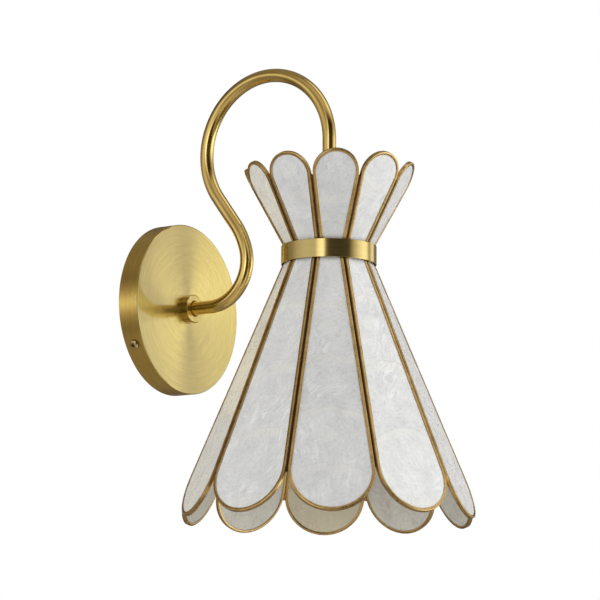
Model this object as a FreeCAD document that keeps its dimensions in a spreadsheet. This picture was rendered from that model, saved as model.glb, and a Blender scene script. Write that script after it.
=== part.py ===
import FreeCAD, Part
import math
import os
import Sketcher

# Wall sconce with a petal shade of flat shell panels in brass frames.
# Millimetres.  Origin: centre of the wall cup's back rim, on the wall.
# +Y points into the wall, +Z is up, +X is to the right for someone facing the wall.

V = FreeCAD.Vector
doc = FreeCAD.newDocument("shell_wall_sconce")

# ---------------------------------------------------------------- driving dimensions
sheet = doc.addObject("Spreadsheet::Sheet", "dims")
TABLE = [
    # wall cup
    ("cup_radius", 60.0), ("cup_depth", 15.5), ("cup_wall", 1.2), ("cup_edge", 0.8),
    ("cup_hole", 4.85), ("rim_hole", 2.2), ("rim_hole_y", 7.75), ("screw_angle", 31.1),
    # strap on the wall
    ("strap_thick", 1.5), ("strap_half", 58.3), ("strap_width", 20.0), ("ear_width", 10.0),
    ("ear_height", 12.0), ("ear_hole", 2.0), ("fix_pitch", 69.85), ("fix_hole", 2.7),
    ("earth_x", 19.0), ("earth_hole", 1.7), ("lead_x", 17.0), ("lead_hole", 5.5),
    # screws
    ("rim_screw_r", 1.95), ("rim_screw_len", 7.0), ("rim_head_r", 3.6), ("rim_head_t", 2.2),
    ("earth_r", 1.6), ("earth_head_r", 3.6), ("earth_head_t", 2.0), ("slot_width", 0.9), ("slot_depth", 1.1),
    # arm
    ("tube_r", 4.7), ("tube_bore", 3.8), ("tube_start", 8.2), ("bend_start", 35.03),
    ("bend_low", 30.41), ("bend_ease", 56.63), ("riser", 25.67), ("arch_r", 51.76),
    ("shade_axis", 133.73), ("tube_end", 13.5),
    ("collar_r", 10.0), ("collar_t", 6.1), ("collar_edge", 0.5), ("collar_bore", 4.78),
    ("washer_r", 8.2), ("washer_t", 1.0), ("washer_notch", 0.8),
    ("nut_flats", 14.0), ("nut_t", 3.5), ("nut_bore", 4.78),
    # waist
    ("waist_z", 26.5), ("spider_t", 1.6), ("spider_r", 31.97), ("spider_rim", 22.0),
    ("spider_hub", 9.5), ("spider_bore", 4.75), ("spoke_width", 5.0),
    ("band_r", 32.6), ("band_t", 0.6), ("band_low", 20.2), ("band_high", 32.9), ("band_edge", 0.2),
    # frames and panels
    ("came_depth", 3.0), ("came_face", 2.15), ("came_web", 0.7), ("flange", 0.5),
    ("panel_gap", 0.05), ("panel_inset", 0.8),
    # lamp holder
    ("cap_r", 17.6), ("cap_wall", 1.2), ("cap_top", 22.2), ("cap_boss_r", 7.6), ("cap_boss_z", 19.2),
    ("cap_shoulder", 13.0), ("cap_low", 2.0), ("holder_neck", 16.3), ("holder_r", 17.6), ("holder_bore", 14.7),
    ("holder_top", 7.0), ("holder_floor", 2.0), ("holder_low", 30.0), ("holder_eye", 2.6),
    ("shell_r", 13.9), ("shell_t", 0.4), ("shell_low", 26.0), ("shell_eye", 6.0),
    ("contact_w", 4.0),
    # lamp
    ("bulb_r", 30.0), ("bulb_wall", 0.8), ("bulb_z", 83.3), ("neck_r", 12.3), ("neck_top", 22.0), ("neck_low", 32.0),
    ("base_r", 13.0), ("base_t", 0.5), ("base_low", 30.0), ("base_high", 10.4), ("base_cone", 7.2), ("base_tip_r", 5.2),
    ("foot_r", 4.4), ("foot_top", 5.5),
]
val = {}
row = 0


def cell(name, value):
    global row
    row += 1
    sheet.set("A%d" % row, name)
    sheet.set("B%d" % row, "%.5f" % value)
    sheet.setAlias("B%d" % row, name)
    val[name] = round(value, 5)


for name, value in TABLE:
    cell(name, value)

# The skirt (petals going down) and the crown (petals going up) are ten-sided cones.
# Each petal is flat: its sides taper along the cone's corners and its free end is a
# round tangent to both sides.  face: distance of the outer face from the shade's axis
# at the waist; lean: its growth per mm of height; gap: how far the side stands back
# from the corner line, so that neighbours meet at their inner edges only.
N = 10
HALF = math.pi / N
TAN = math.tan(HALF)
CONES = {
    "lower": {"face": 28.02, "lean": 0.399, "gap": 1.11, "tip": -154.85, "turn": -55.27, "start": 0.90,
              # small differences of length between the hand-made petals
              "more": [1.3, -0.4, -0.6, 0.6, 0.0, -0.1, 0.2, -0.2, -1.6, 0.4]},
    "upper": {"face": 26.83, "lean": 0.523, "gap": 1.19, "tip": 88.33, "turn": -51.68, "start": 0.95,
              "more": [0.1, 0.9, 0.1, 0.3, -0.4, 0.2, -0.2, 0.4, -1.9, -0.5]},
}
LETTERS = "abcdefghij"
for kind, c in CONES.items():
    c["tilt"] = math.atan(c["lean"])
    s = math.sin(c["tilt"])
    tb = TAN * s
    c["slope"] = math.atan(tb)

    def half(v, c=c, s=s):
        return (c["face"] + v * s) * TAN - c["gap"]

    cell(kind + "_face", c["face"])
    cell(kind + "_tilt", math.degrees(c["tilt"]))
    cell(kind + "_turn", c["turn"])
    cell(kind + "_start", c["start"])
    cell(kind + "_corner", half(c["start"]))
    cell(kind + "_taper", tb)
    cell(kind + "_cos", math.cos(c["slope"]))
    reach = abs(c["tip"] - val["waist_z"]) / math.cos(c["tilt"])
    for i in range(N):
        tip = reach + c["more"][i]
        r = math.cos(c["slope"]) * half(tip) / (1 + math.sin(c["slope"]))
        cell("%s_round_%s" % (kind, LETTERS[i]), r)
        cell("%s_centre_%s" % (kind, LETTERS[i]), tip - r)
doc.recompute()


class Q:
    """A size with its number and the sheet formula that drives it."""

    def __init__(self, v, t=None):
        self.v = float(v)
        self.t = t if t is not None else "%.6g" % v

    @staticmethod
    def of(x):
        return x if isinstance(x, Q) else Q(x)

    def __add__(self, o):
        o = Q.of(o)
        return Q(self.v + o.v, "(%s + %s)" % (self.t, o.t))

    def __sub__(self, o):
        o = Q.of(o)
        return Q(self.v - o.v, "(%s - %s)" % (self.t, o.t))

    def __mul__(self, o):
        o = Q.of(o)
        return Q(self.v * o.v, "(%s * %s)" % (self.t, o.t))

    def __truediv__(self, o):
        o = Q.of(o)
        return Q(self.v / o.v, "(%s / %s)" % (self.t, o.t))

    def __neg__(self):
        return Q(-self.v, "(0 - %s)" % self.t)


def D(name):
    return Q(val[name], "dims." + name)


# ---------------------------------------------------------------- building blocks
def new_body(label):
    b = doc.addObject("PartDesign::Body", label)
    b.Label = label
    return b


def plane(b, role):
    for f in b.Origin.OriginFeatures:
        if f.Role == role:
            return f
    raise RuntimeError("no plane " + role)


def new_sketch(b, name, role="XY_Plane", lift=None, turn=None):
    sk = b.newObject("Sketcher::SketchObject", b.Label + "_" + name)
    sk.AttachmentSupport = [(plane(b, role), "")]
    sk.MapMode = "FlatFace"
    if lift is not None or turn is not None:
        lift = Q.of(lift if lift is not None else 0)
        sk.AttachmentOffset = FreeCAD.Placement(V(0, 0, lift.v), turn or FreeCAD.Rotation())
        if turn is None and "dims." in lift.t:
            sk.setExpression(".AttachmentOffset.Base.z", lift.t)
    return sk


def bind(sk, con, expr):
    i = sk.addConstraint(con)
    if "dims." in expr:
        n = "c%d" % i
        sk.renameConstraint(i, n)
        sk.setExpression("Constraints." + n, expr)
    return i


def pin_point(sk, g, p, x, y):
    x, y = Q.of(x), Q.of(y)
    if abs(x.v) < 1e-9:
        sk.addConstraint(Sketcher.Constraint("PointOnObject", g, p, -2))
    else:
        bind(sk, Sketcher.Constraint("DistanceX", -1, 1, g, p, x.v), x.t)
    if abs(y.v) < 1e-9:
        sk.addConstraint(Sketcher.Constraint("PointOnObject", g, p, -1))
    else:
        bind(sk, Sketcher.Constraint("DistanceY", -1, 1, g, p, y.v), y.t)


def polygon(sk, pts):
    pts = [(Q.of(x), Q.of(y)) for x, y in pts]
    n = len(pts)
    first = None
    for i in range(n):
        a, b = pts[i], pts[(i + 1) % n]
        g = sk.addGeometry(Part.LineSegment(V(a[0].v, a[1].v, 0), V(b[0].v, b[1].v, 0)), False)
        if first is None:
            first = g
    for i in range(n):
        sk.addConstraint(Sketcher.Constraint("Coincident", first + i, 2, first + (i + 1) % n, 1))
        pin_point(sk, first + i, 1, *pts[i])


def circle(sk, x, y, r):
    x, y, r = Q.of(x), Q.of(y), Q.of(r)
    g = sk.addGeometry(Part.Circle(V(x.v, y.v, 0), V(0, 0, 1), r.v), False)
    if abs(x.v) < 1e-9 and abs(y.v) < 1e-9:
        sk.addConstraint(Sketcher.Constraint("Coincident", g, 3, -1, 1))
    else:
        pin_point(sk, g, 3, x, y)
    bind(sk, Sketcher.Constraint("Radius", g, r.v), r.t)


def pad(b, sk, length, reverse=False, middle=False):
    length = Q.of(length)
    f = b.newObject("PartDesign::Pad", sk.Name + "_pad")
    f.Profile = sk
    f.Length = length.v
    if "dims." in length.t:
        f.setExpression("Length", length.t)
    f.Reversed = reverse
    f.Midplane = middle
    sk.Visibility = False
    return f


def pocket(b, sk, length=None, reverse=False, middle=False):
    before = None
    doc.recompute()
    before = b.Shape.Volume
    f = b.newObject("PartDesign::Pocket", sk.Name + "_cut")
    f.Profile = sk
    if length is None:
        f.Type = "ThroughAll"
    else:
        length = Q.of(length)
        f.Length = length.v
        if "dims." in length.t:
            f.setExpression("Length", length.t)
    f.Reversed = reverse
    f.Midplane = middle
    doc.recompute()
    if not b.Shape.Volume < before - 1e-3:
        raise RuntimeError("nothing cut by " + f.Name)
    return f


def revolve(b, sk, axis="V_Axis"):
    f = b.newObject("PartDesign::Revolution", sk.Name + "_turned")
    f.Profile = sk
    f.ReferenceAxis = (sk, [axis])
    f.Angle = 360.0
    return f


def polar(b, feature, count):
    z = None
    for f in b.Origin.OriginFeatures:
        if f.Role == "Z_Axis":
            z = f
    doc.recompute()
    p = b.newObject("PartDesign::PolarPattern", feature.Name + "_ring")
    p.Originals = [feature]
    p.Axis = (z, [""])
    p.Angle = 360.0
    p.Occurrences = count
    b.Tip = p
    doc.recompute()
    return p


def round_edge(b, feature, radius, test):
    doc.recompute()
    names = []
    for i, e in enumerate(feature.Shape.Edges):
        if test(e):
            names.append("Edge%d" % (i + 1))
    if not names:
        raise RuntimeError("no edge to round on " + b.Label)
    f = b.newObject("PartDesign::Fillet", b.Label + "_round")
    f.Base = (feature, names)
    radius = Q.of(radius)
    f.Radius = radius.v
    if "dims." in radius.t:
        f.setExpression("Radius", radius.t)
    doc.recompute()
    return f


def is_circle(e, r, axis, at):
    c = e.Curve
    if not isinstance(c, Part.Circle):
        return False
    return abs(c.Radius - r) < 1e-3 and abs(c.Center.dot(axis) - at) < 1e-3


AXIS = V(0, -val["shade_axis"], 0)
kept = []

# ---------------------------------------------------------------- wall cup
cup = new_body("canopy")
sk = new_sketch(cup, "section", "XY_Plane")
R, dep, w = D("cup_radius"), D("cup_depth"), D("cup_wall")
polygon(sk, [(R, 0), (R, -dep), (D("cup_hole"), -dep), (D("cup_hole"), -(dep - w)), (R - w, -(dep - w)), (R - w, 0)])
f = revolve(cup, sk)
round_edge(cup, f, D("cup_edge"), lambda e: is_circle(e, val["cup_radius"], V(0, 1, 0), -val["cup_depth"]))
turn = FreeCAD.Rotation(V(1, 0, 0), -val["screw_angle"])
sk = new_sketch(cup, "rim_holes", "YZ_Plane", turn=turn)
circle(sk, -D("rim_hole_y"), 0, D("rim_hole"))
pocket(cup, sk, None, middle=True)
kept.append(cup)

# ---------------------------------------------------------------- strap with two ears
TILT = FreeCAD.Rotation(V(0, 1, 0), -val["screw_angle"])
strap = new_body("wall_bracket")
sk = new_sketch(strap, "blank", "XZ_Plane")
L, hw, he = D("strap_half"), D("strap_width") / 2, D("ear_width") / 2
polygon(sk, [(-L, -he), (-(L - 7), -hw), (L - 7, -hw), (L, -he), (L, he), (L - 7, hw), (-(L - 7), hw), (-L, he)])
f = pad(strap, sk, D("strap_thick"))
doc.recompute()
sk = new_sketch(strap, "ears", "XZ_Plane")
t = D("strap_thick")
for sgn in (-1, 1):
    polygon(sk, [(Q.of(sgn) * L, -he), (Q.of(sgn) * L, he), (Q.of(sgn) * (L - t), he), (Q.of(sgn) * (L - t), -he)])
pad(strap, sk, D("ear_height"))
sk = new_sketch(strap, "ear_holes", "YZ_Plane")
circle(sk, -D("rim_hole_y"), 0, D("ear_hole"))
pocket(strap, sk, None, middle=True)
sk = new_sketch(strap, "holes", "XZ_Plane")
circle(sk, D("fix_pitch") / 2, 0, D("fix_hole"))
circle(sk, -(D("fix_pitch") / 2), 0, D("fix_hole"))
circle(sk, D("earth_x"), 0, D("earth_hole"))
circle(sk, -D("lead_x"), 0, D("lead_hole"))
pocket(strap, sk, None, middle=True)
strap.Placement = FreeCAD.Placement(V(0, 0, 0), TILT)
kept.append(strap)


# ---------------------------------------------------------------- screws
def screw(label, head_r, head_t, shank_r, length):
    # turned about its own Z; the head's seat is z = 0 and the shank goes down
    b = new_body(label)
    s = new_sketch(b, "section", "XZ_Plane")
    h = head_t
    polygon(s, [(0, -length), (shank_r, -length), (shank_r, 0), (head_r, 0), (head_r, h * 0.45),
                (head_r * 0.86, h * 0.82), (head_r * 0.55, h), (0, h)])
    revolve(b, s)
    s = new_sketch(b, "recess", "XY_Plane", lift=h)
    a, c = head_r * 0.56, D("slot_width") / 2
    polygon(s, [(-a, -c), (-c, -c), (-c, -a), (c, -a), (c, -c), (a, -c), (a, c), (c, c), (c, a), (-c, a), (-c, c), (-a, c)])
    pocket(b, s, D("slot_depth"))
    return b


pair = []
for k, sgn in enumerate((-1, 1)):
    b = screw("rim_screw_%s" % "ab"[k], D("rim_head_r"), D("rim_head_t"), D("rim_screw_r"), D("rim_screw_len"))
    a = math.radians(val["screw_angle"])
    d = V(sgn * math.cos(a), 0, sgn * math.sin(a))
    b.Placement = FreeCAD.Placement(d * val["cup_radius"] + V(0, -val["rim_hole_y"], 0), FreeCAD.Rotation(V(0, 0, 1), d))
    pair.append(b)
group = doc.addObject("Part::Compound", "canopy_screws")
group.Label = "canopy_screws"
group.Links = pair
kept.append(group)

b = screw("ground_screw", D("earth_head_r"), D("earth_head_t"), D("earth_r"), D("strap_thick"))
d = TILT.multVec(V(val["earth_x"], 0, 0))
b.Placement = FreeCAD.Placement(d + V(0, -val["strap_thick"], 0), FreeCAD.Rotation(V(0, 0, 1), V(0, -1, 0)))
kept.append(b)

# ---------------------------------------------------------------- arm
# Centre line in the plane x = 0: straight out of the cup, a bend up and back with an
# easing end, a straight riser, a round arch over the top, and straight down the axis
# of the shade.  a is the heading, 0 away from the wall and 90 degrees up.
y0, z0 = -val["tube_start"], 0.0
b1 = math.radians(105.83)
b2 = math.radians(20.46)
A = b1 + b2
p0 = V(y0, 0, 0)
p1 = V(-val["bend_start"], 0, 0)
r1, r2, r3 = val["bend_low"], val["bend_ease"], val["arch_r"]
c1 = V(p1.x, r1, 0)
p2 = c1 - V(math.sin(b1), math.cos(b1), 0) * r1
c2 = p2 + V(math.sin(b1), math.cos(b1), 0) * r2
p3 = c2 - V(math.sin(A), math.cos(A), 0) * r2
p4 = p3 + V(-math.cos(A), math.sin(A), 0) * val["riser"]
# the arch radius that lands the tube on the shade's axis
r3 = (p4.x + val["shade_axis"]) / (1 + math.sin(A))
c3 = p4 - V(math.sin(A), math.cos(A), 0) * r3
p5 = c3 + V(-r3, 0, 0)
p6 = V(p5.x, val["tube_end"], 0)
print("arch radius %.3f, top of centre line %.3f" % (r3, c3.y + r3))

arm = new_body("arm_tube")
path = new_sketch(arm, "route", "YZ_Plane")


def through(a, m, e):
    return Part.ArcOfCircle(a, m, e)


def mid(c, r, ang):
    return c + V(math.cos(ang), math.sin(ang), 0) * r


def ang(c, p):
    return math.atan2(p.y - c.y, p.x - c.x)


m1 = mid(c1, r1, (-math.pi / 2 + (-math.pi / 2 - b1)) / 2)
m2 = mid(c2, r2, (2 * (-math.pi / 2) - b1 - A) / 2)
m3 = mid(c3, r3, (ang(c3, p4) + math.pi) / 2)
g0 = path.addGeometry(Part.LineSegment(p0, p1), False)
g1 = path.addGeometry(through(p1, m1, p2), False)
g2 = path.addGeometry(through(p2, m2, p3), False)
g3 = path.addGeometry(Part.LineSegment(p3, p4), False)
g4 = path.addGeometry(through(p4, m3, p5), False)
g5 = path.addGeometry(Part.LineSegment(p5, p6), False)


def ends(g, p):
    q1 = path.getPoint(g, 1)
    return 1 if (q1 - p).Length < 1e-4 else 2


for ga, gb, p in ((g0, g1, p1), (g1, g2, p2), (g2, g3, p3), (g3, g4, p4), (g4, g5, p5)):
    path.addConstraint(Sketcher.Constraint("Tangent", ga, ends(ga, p), gb, ends(gb, p)))
pin_point(path, g0, 1, -D("tube_start"), 0)
pin_point(path, g0, 2, -D("bend_start"), 0)
bind(path, Sketcher.Constraint("Radius", g1, r1), "dims.bend_low")
bind(path, Sketcher.Constraint("Radius", g2, r2), "dims.bend_ease")
path.addConstraint(Sketcher.Constraint("DistanceX", -1, 1, g1, ends(g1, p2), p2.x))
path.addConstraint(Sketcher.Constraint("DistanceX", -1, 1, g2, ends(g2, p3), p3.x))
bind(path, Sketcher.Constraint("Distance", g3, val["riser"]), "dims.riser")
path.addConstraint(Sketcher.Constraint("Vertical", g5))
pin_point(path, g5, ends(g5, p6), -D("shade_axis"), D("tube_end"))
ring = new_sketch(arm, "section", "XZ_Plane", lift=D("tube_start"))
circle(ring, 0, 0, D("tube_r"))
circle(ring, 0, 0, D("tube_bore"))
doc.recompute()
pipe = arm.newObject("PartDesign::AdditivePipe", "arm_tube_sweep")
pipe.Profile = ring
pipe.Spine = (path, [])
pipe.Transition = "Transformed"
doc.recompute()
length = (p1 - p0).Length + r1 * b1 + r2 * b2 + (p4 - p3).Length + r3 * (A + math.pi / 2) + (p6 - p5).Length
want = math.pi * (val["tube_r"] ** 2 - val["tube_bore"] ** 2) * length
print("arm tube length %.1f, volume %.1f of %.1f" % (length, arm.Shape.Volume, want))
if abs(arm.Shape.Volume - want) > 0.02 * want:
    raise RuntimeError("arm tube volume")
kept.append(arm)

collar = new_body("arm_collar")
sk = new_sketch(collar, "section", "XY_Plane")
y1, y2, e = -D("cup_depth"), -(D("cup_depth") + D("collar_t")), D("collar_edge")
polygon(sk, [(D("collar_bore"), y1), (D("collar_r"), y1), (D("collar_r"), y2), (D("collar_bore"), y2)])
f = revolve(collar, sk)
round_edge(collar, f, e, lambda ed: is_circle(ed, val["collar_r"], V(0, 1, 0), y2.v))
kept.append(collar)


def hexagon(sk, flats):
    c = flats / math.sqrt(3)
    pts = []
    for k in range(6):
        a = math.pi / 3 * k
        pts.append((c * round(math.cos(a), 6), c * round(math.sin(a), 6)))
    polygon(sk, pts)


def nut(label, place):
    b = new_body(label)
    s = new_sketch(b, "blank", "XY_Plane")
    hexagon(s, D("nut_flats"))
    circle(s, 0, 0, D("nut_bore"))
    pad(b, s, D("nut_t"))
    b.Placement = place
    kept.append(b)
    return b


OUT = FreeCAD.Rotation(V(0, 0, 1), V(0, 1, 0))
inside = -val["cup_depth"] + val["cup_wall"]
washer = new_body("arm_lock_washer")
sk = new_sketch(washer, "blank", "XY_Plane")
circle(sk, 0, 0, D("washer_r"))
circle(sk, 0, 0, D("nut_bore"))
pad(washer, sk, D("washer_t"))
doc.recompute()
sk = new_sketch(washer, "notch", "XY_Plane")
q = D("washer_notch") / 2
polygon(sk, [(D("washer_r") - 1.3, -q), (D("washer_r") + 1, -q), (D("washer_r") + 1, q), (D("washer_r") - 1.3, q)])
f = pocket(washer, sk, D("washer_t") + 1, reverse=True)
polar(washer, f, 12)
washer.Placement = FreeCAD.Placement(V(0, inside, 0), OUT)
kept.append(washer)
nut("arm_nut", FreeCAD.Placement(V(0, inside + val["washer_t"], 0), OUT))

# ---------------------------------------------------------------- waist
low = val["waist_z"] - val["spider_t"] / 2
high = val["waist_z"] + val["spider_t"] / 2
spider = new_body("shade_spider")
sk = new_sketch(spider, "rim", "XY_Plane")
circle(sk, 0, 0, D("spider_r"))
circle(sk, 0, 0, D("spider_rim"))
pad(spider, sk, D("spider_t"))
sk = new_sketch(spider, "spoke", "XY_Plane")
s2 = D("spoke_width") / 2
polygon(sk, [(0, -s2), (D("spider_rim") + 1, -s2), (D("spider_rim") + 1, s2), (0, s2)])
f = pad(spider, sk, D("spider_t"))
polar(spider, f, 5)
sk = new_sketch(spider, "hub", "XY_Plane")
circle(sk, 0, 0, D("spider_hub"))
pad(spider, sk, D("spider_t"))
sk = new_sketch(spider, "bore", "XY_Plane")
circle(sk, 0, 0, D("spider_bore"))
pocket(spider, sk, D("spider_t") + 1, reverse=True)
spider.Placement = FreeCAD.Placement(AXIS + V(0, 0, low), FreeCAD.Rotation(V(0, 0, 1), CONES["lower"]["turn"] - 90))
kept.append(spider)
nut("hub_nut_upper", FreeCAD.Placement(AXIS + V(0, 0, high), FreeCAD.Rotation()))
nut("hub_nut_lower", FreeCAD.Placement(AXIS + V(0, 0, low - val["nut_t"]), FreeCAD.Rotation(V(0, 0, 1), 20)))

band = new_body("waist_band")
sk = new_sketch(band, "section", "XZ_Plane")
ri, ro = D("band_r") - D("band_t"), D("band_r")
polygon(sk, [(ri, D("band_low")), (ro, D("band_low")), (ro, D("band_high")), (ri, D("band_high"))])
f = revolve(band, sk)
round_edge(band, f, D("band_edge"), lambda ed: is_circle(ed, val["band_r"], V(0, 0, 1), val["band_low"])
           or is_circle(ed, val["band_r"], V(0, 0, 1), val["band_high"]))
band.Placement = FreeCAD.Placement(AXIS, FreeCAD.Rotation())
kept.append(band)


# ---------------------------------------------------------------- petals
def petal_outline(sk, kind, i, inset):
    """The petal's outline, moved inwards by inset.  x across, y away from the waist."""
    inset = Q.of(inset)
    ch = LETTERS[i]
    start = D(kind + "_start") + inset
    corner = D(kind + "_corner") + D(kind + "_taper") * inset - inset / D(kind + "_cos")
    rad = D("%s_round_%s" % (kind, ch)) - inset
    cen = D("%s_centre_%s" % (kind, ch))
    sl = CONES[kind]["slope"]
    tx, ty = rad.v * math.cos(sl), cen.v - rad.v * math.sin(sl)
    a, b = V(-corner.v, start.v, 0), V(corner.v, start.v, 0)
    c, d = V(tx, ty, 0), V(-tx, ty, 0)
    g0 = sk.addGeometry(Part.LineSegment(a, b), False)
    g1 = sk.addGeometry(Part.LineSegment(b, c), False)
    g2 = sk.addGeometry(Part.ArcOfCircle(c, V(0, cen.v + rad.v, 0), d), False)
    g3 = sk.addGeometry(Part.LineSegment(d, a), False)
    at_c = 1 if (sk.getPoint(g2, 1) - c).Length < 1e-4 else 2
    sk.addConstraint(Sketcher.Constraint("Coincident", g0, 2, g1, 1))
    sk.addConstraint(Sketcher.Constraint("Coincident", g3, 2, g0, 1))
    sk.addConstraint(Sketcher.Constraint("Tangent", g1, 2, g2, at_c))
    sk.addConstraint(Sketcher.Constraint("Tangent", g2, 3 - at_c, g3, 1))
    sk.addConstraint(Sketcher.Constraint("PointOnObject", g2, 3, -2))
    sk.addConstraint(Sketcher.Constraint("Symmetric", g0, 1, g0, 2, -2))
    bind(sk, Sketcher.Constraint("DistanceY", -1, 1, g0, 1, start.v), start.t)
    bind(sk, Sketcher.Constraint("DistanceX", -1, 1, g0, 2, corner.v), corner.t)
    bind(sk, Sketcher.Constraint("DistanceY", -1, 1, g2, 3, cen.v), cen.t)
    bind(sk, Sketcher.Constraint("Radius", g2, rad.v), rad.t)


def petal_place(kind, i):
    c = CONES[kind]
    az = math.radians(c["turn"] + 36.0 * i)
    o = V(math.sin(az), -math.cos(az), 0)
    t = V(0, 0, 1).cross(o)
    up = 1 if kind == "upper" else -1
    s = o * math.sin(c["tilt"]) + V(0, 0, up * math.cos(c["tilt"]))
    n = o * math.cos(c["tilt"]) - V(0, 0, up * math.sin(c["tilt"]))
    x = t * up
    m = FreeCAD.Matrix(x.x, s.x, n.x, 0, x.y, s.y, n.y, 0, x.z, s.z, n.z, 0, 0, 0, 0, 1)
    return FreeCAD.Placement(AXIS + V(0, 0, val["waist_z"]) + o * val[kind + "_face"], FreeCAD.Rotation(m))


for kind in ("lower", "upper"):
    for i in range(N):
        came = new_body("%s_came_%02d" % (kind, i + 1))
        sk = new_sketch(came, "outline", "XY_Plane")
        petal_outline(sk, kind, i, 0)
        pad(came, sk, D("came_depth"), reverse=True)
        sk = new_sketch(came, "window", "XY_Plane")
        petal_outline(sk, kind, i, D("came_face"))
        pocket(came, sk, D("came_depth") + 1)
        sk = new_sketch(came, "groove", "XY_Plane", lift=-D("flange"))
        petal_outline(sk, kind, i, D("came_web"))
        pocket(came, sk, D("came_depth") - D("flange") * 2)
        came.Placement = petal_place(kind, i)
        kept.append(came)
        panel = new_body("%s_panel_%02d" % (kind, i + 1))
        sk = new_sketch(panel, "outline", "XY_Plane", lift=-(D("flange") + D("panel_gap")))
        petal_outline(sk, kind, i, D("panel_inset"))
        pad(panel, sk, D("came_depth") - D("flange") * 2 - D("panel_gap") * 2, reverse=True)
        panel.Placement = petal_place(kind, i)
        kept.append(panel)

# ---------------------------------------------------------------- lamp holder
cap = new_body("holder_cap")
sk = new_sketch(cap, "section", "XZ_Plane")
w = D("cap_wall")
polygon(sk, [(D("nut_bore"), D("cap_top")), (D("cap_boss_r"), D("cap_top")), (D("cap_boss_r"), D("cap_boss_z")),
             (D("cap_r") - 3, D("cap_shoulder") + 2.2), (D("cap_r"), D("cap_shoulder")), (D("cap_r"), D("cap_low")),
             (D("cap_r") - w, D("cap_low")), (D("cap_r") - w, D("cap_shoulder") - 0.6),
             (D("cap_r") - 3.6, D("cap_shoulder") + 1.0), (D("cap_boss_r"), D("cap_boss_z") - 1.6),
             (D("cap_boss_r"), D("cap_boss_z") - 3.4), (D("nut_bore"), D("cap_boss_z") - 3.4)])
revolve(cap, sk)
cap.Placement = FreeCAD.Placement(AXIS, FreeCAD.Rotation())
kept.append(cap)

holder = new_body("holder_body")
sk = new_sketch(holder, "section", "XZ_Plane")
polygon(sk, [(D("holder_eye"), D("holder_top")), (D("holder_neck"), D("holder_top")), (D("holder_neck"), D("cap_low")),
             (D("holder_r"), D("cap_low")), (D("holder_r"), -(D("holder_low") - 2.0)), (D("holder_r") - 0.7, -D("holder_low")),
             (D("holder_bore"), -D("holder_low")), (D("holder_bore"), -D("holder_floor")),
             (D("holder_eye"), -D("holder_floor"))])
revolve(holder, sk)
holder.Placement = FreeCAD.Placement(AXIS, FreeCAD.Rotation())
kept.append(holder)

shell = new_body("screw_shell")
sk = new_sketch(shell, "section", "XZ_Plane")
t, top = D("shell_t"), -D("holder_floor")
polygon(sk, [(D("shell_eye"), top), (D("shell_r"), top), (D("shell_r"), -D("shell_low")), (D("shell_r") - t, -D("shell_low")),
             (D("shell_r") - t, top - t), (D("shell_eye"), top - t)])
revolve(shell, sk)
shell.Placement = FreeCAD.Placement(AXIS, FreeCAD.Rotation())
kept.append(shell)

tongue = new_body("centre_contact")
sk = new_sketch(tongue, "side", "XZ_Plane")
polygon(sk, [(-5.0, top), (-5.0, top - 0.5), (-2.0, top - 0.5), (1.2, top - 3.3), (3.6, top - 2.9), (3.6, top - 2.4),
             (1.3, top - 2.75), (-1.8, top)])
pad(tongue, sk, D("contact_w"), middle=True)
tongue.Placement = FreeCAD.Placement(AXIS, FreeCAD.Rotation())
kept.append(tongue)

# ---------------------------------------------------------------- lamp
glass = new_body("bulb_glass")
sk = new_sketch(glass, "section", "XZ_Plane")
Rb, tb = val["bulb_r"], val["bulb_wall"]
nr, zl, zt, zc = val["neck_r"], -val["neck_low"], -val["neck_top"], -val["bulb_z"]
rho = (nr ** 2 + (zl - zc) ** 2 - Rb ** 2) / (2 * (Rb - nr))
cc = V(nr + rho, zl, 0)
dirn = V(cc.x, cc.y - zc, 0)
dirn.normalize()


def arc3(c, r, a0, a1):
    m = (a0 + a1) / 2
    f = [V(c.x + r * math.cos(q), c.y + r * math.sin(q), 0) for q in (a0, m, a1)]
    return Part.ArcOfCircle(f[0], f[1], f[2]), f[0], f[2]


af = math.atan2(dirn.y, dirn.x)
geo = []
s0 = V(0, zc, 0)
geo.append(Part.LineSegment(V(nr, zt, 0), V(nr, zl, 0)))
geo.append(arc3(cc, rho, math.pi, math.pi + af)[0])
geo.append(arc3(s0, Rb, af, -math.pi / 2)[0])
geo.append(Part.LineSegment(V(0, zc - Rb, 0), V(0, zc - Rb + tb, 0)))
geo.append(arc3(s0, Rb - tb, -math.pi / 2, af)[0])
geo.append(arc3(cc, rho + tb, math.pi + af, math.pi)[0])
geo.append(Part.LineSegment(V(nr - tb, zl, 0), V(nr - tb, zt, 0)))
geo.append(Part.LineSegment(V(nr - tb, zt, 0), V(nr, zt, 0)))
ids = [sk.addGeometry(x, False) for x in geo]


def near(g, h):
    best = None
    for p in (1, 2):
        for q in (1, 2):
            dd = (sk.getPoint(g, p) - sk.getPoint(h, q)).Length
            if best is None or dd < best[0]:
                best = (dd, p, q)
    return best[1], best[2]


for i, g in enumerate(ids):
    h = ids[(i + 1) % len(ids)]
    p, q = near(g, h)
    kindc = "Tangent" if i in (0, 1, 4, 5) else "Coincident"
    sk.addConstraint(Sketcher.Constraint(kindc, g, p, h, q))
sk.addConstraint(Sketcher.Constraint("Vertical", ids[0]))
sk.addConstraint(Sketcher.Constraint("PointOnObject", ids[2], 3, -2))
sk.addConstraint(Sketcher.Constraint("Coincident", ids[2], 3, ids[4], 3))
sk.addConstraint(Sketcher.Constraint("Coincident", ids[1], 3, ids[5], 3))
sk.addConstraint(Sketcher.Constraint("PointOnObject", ids[3], 1, -2))
sk.addConstraint(Sketcher.Constraint("PointOnObject", ids[3], 2, -2))
bind(sk, Sketcher.Constraint("DistanceY", -1, 1, ids[2], 3, zc), "(0 - dims.bulb_z)")
bind(sk, Sketcher.Constraint("Radius", ids[2], Rb), "dims.bulb_r")
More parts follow.
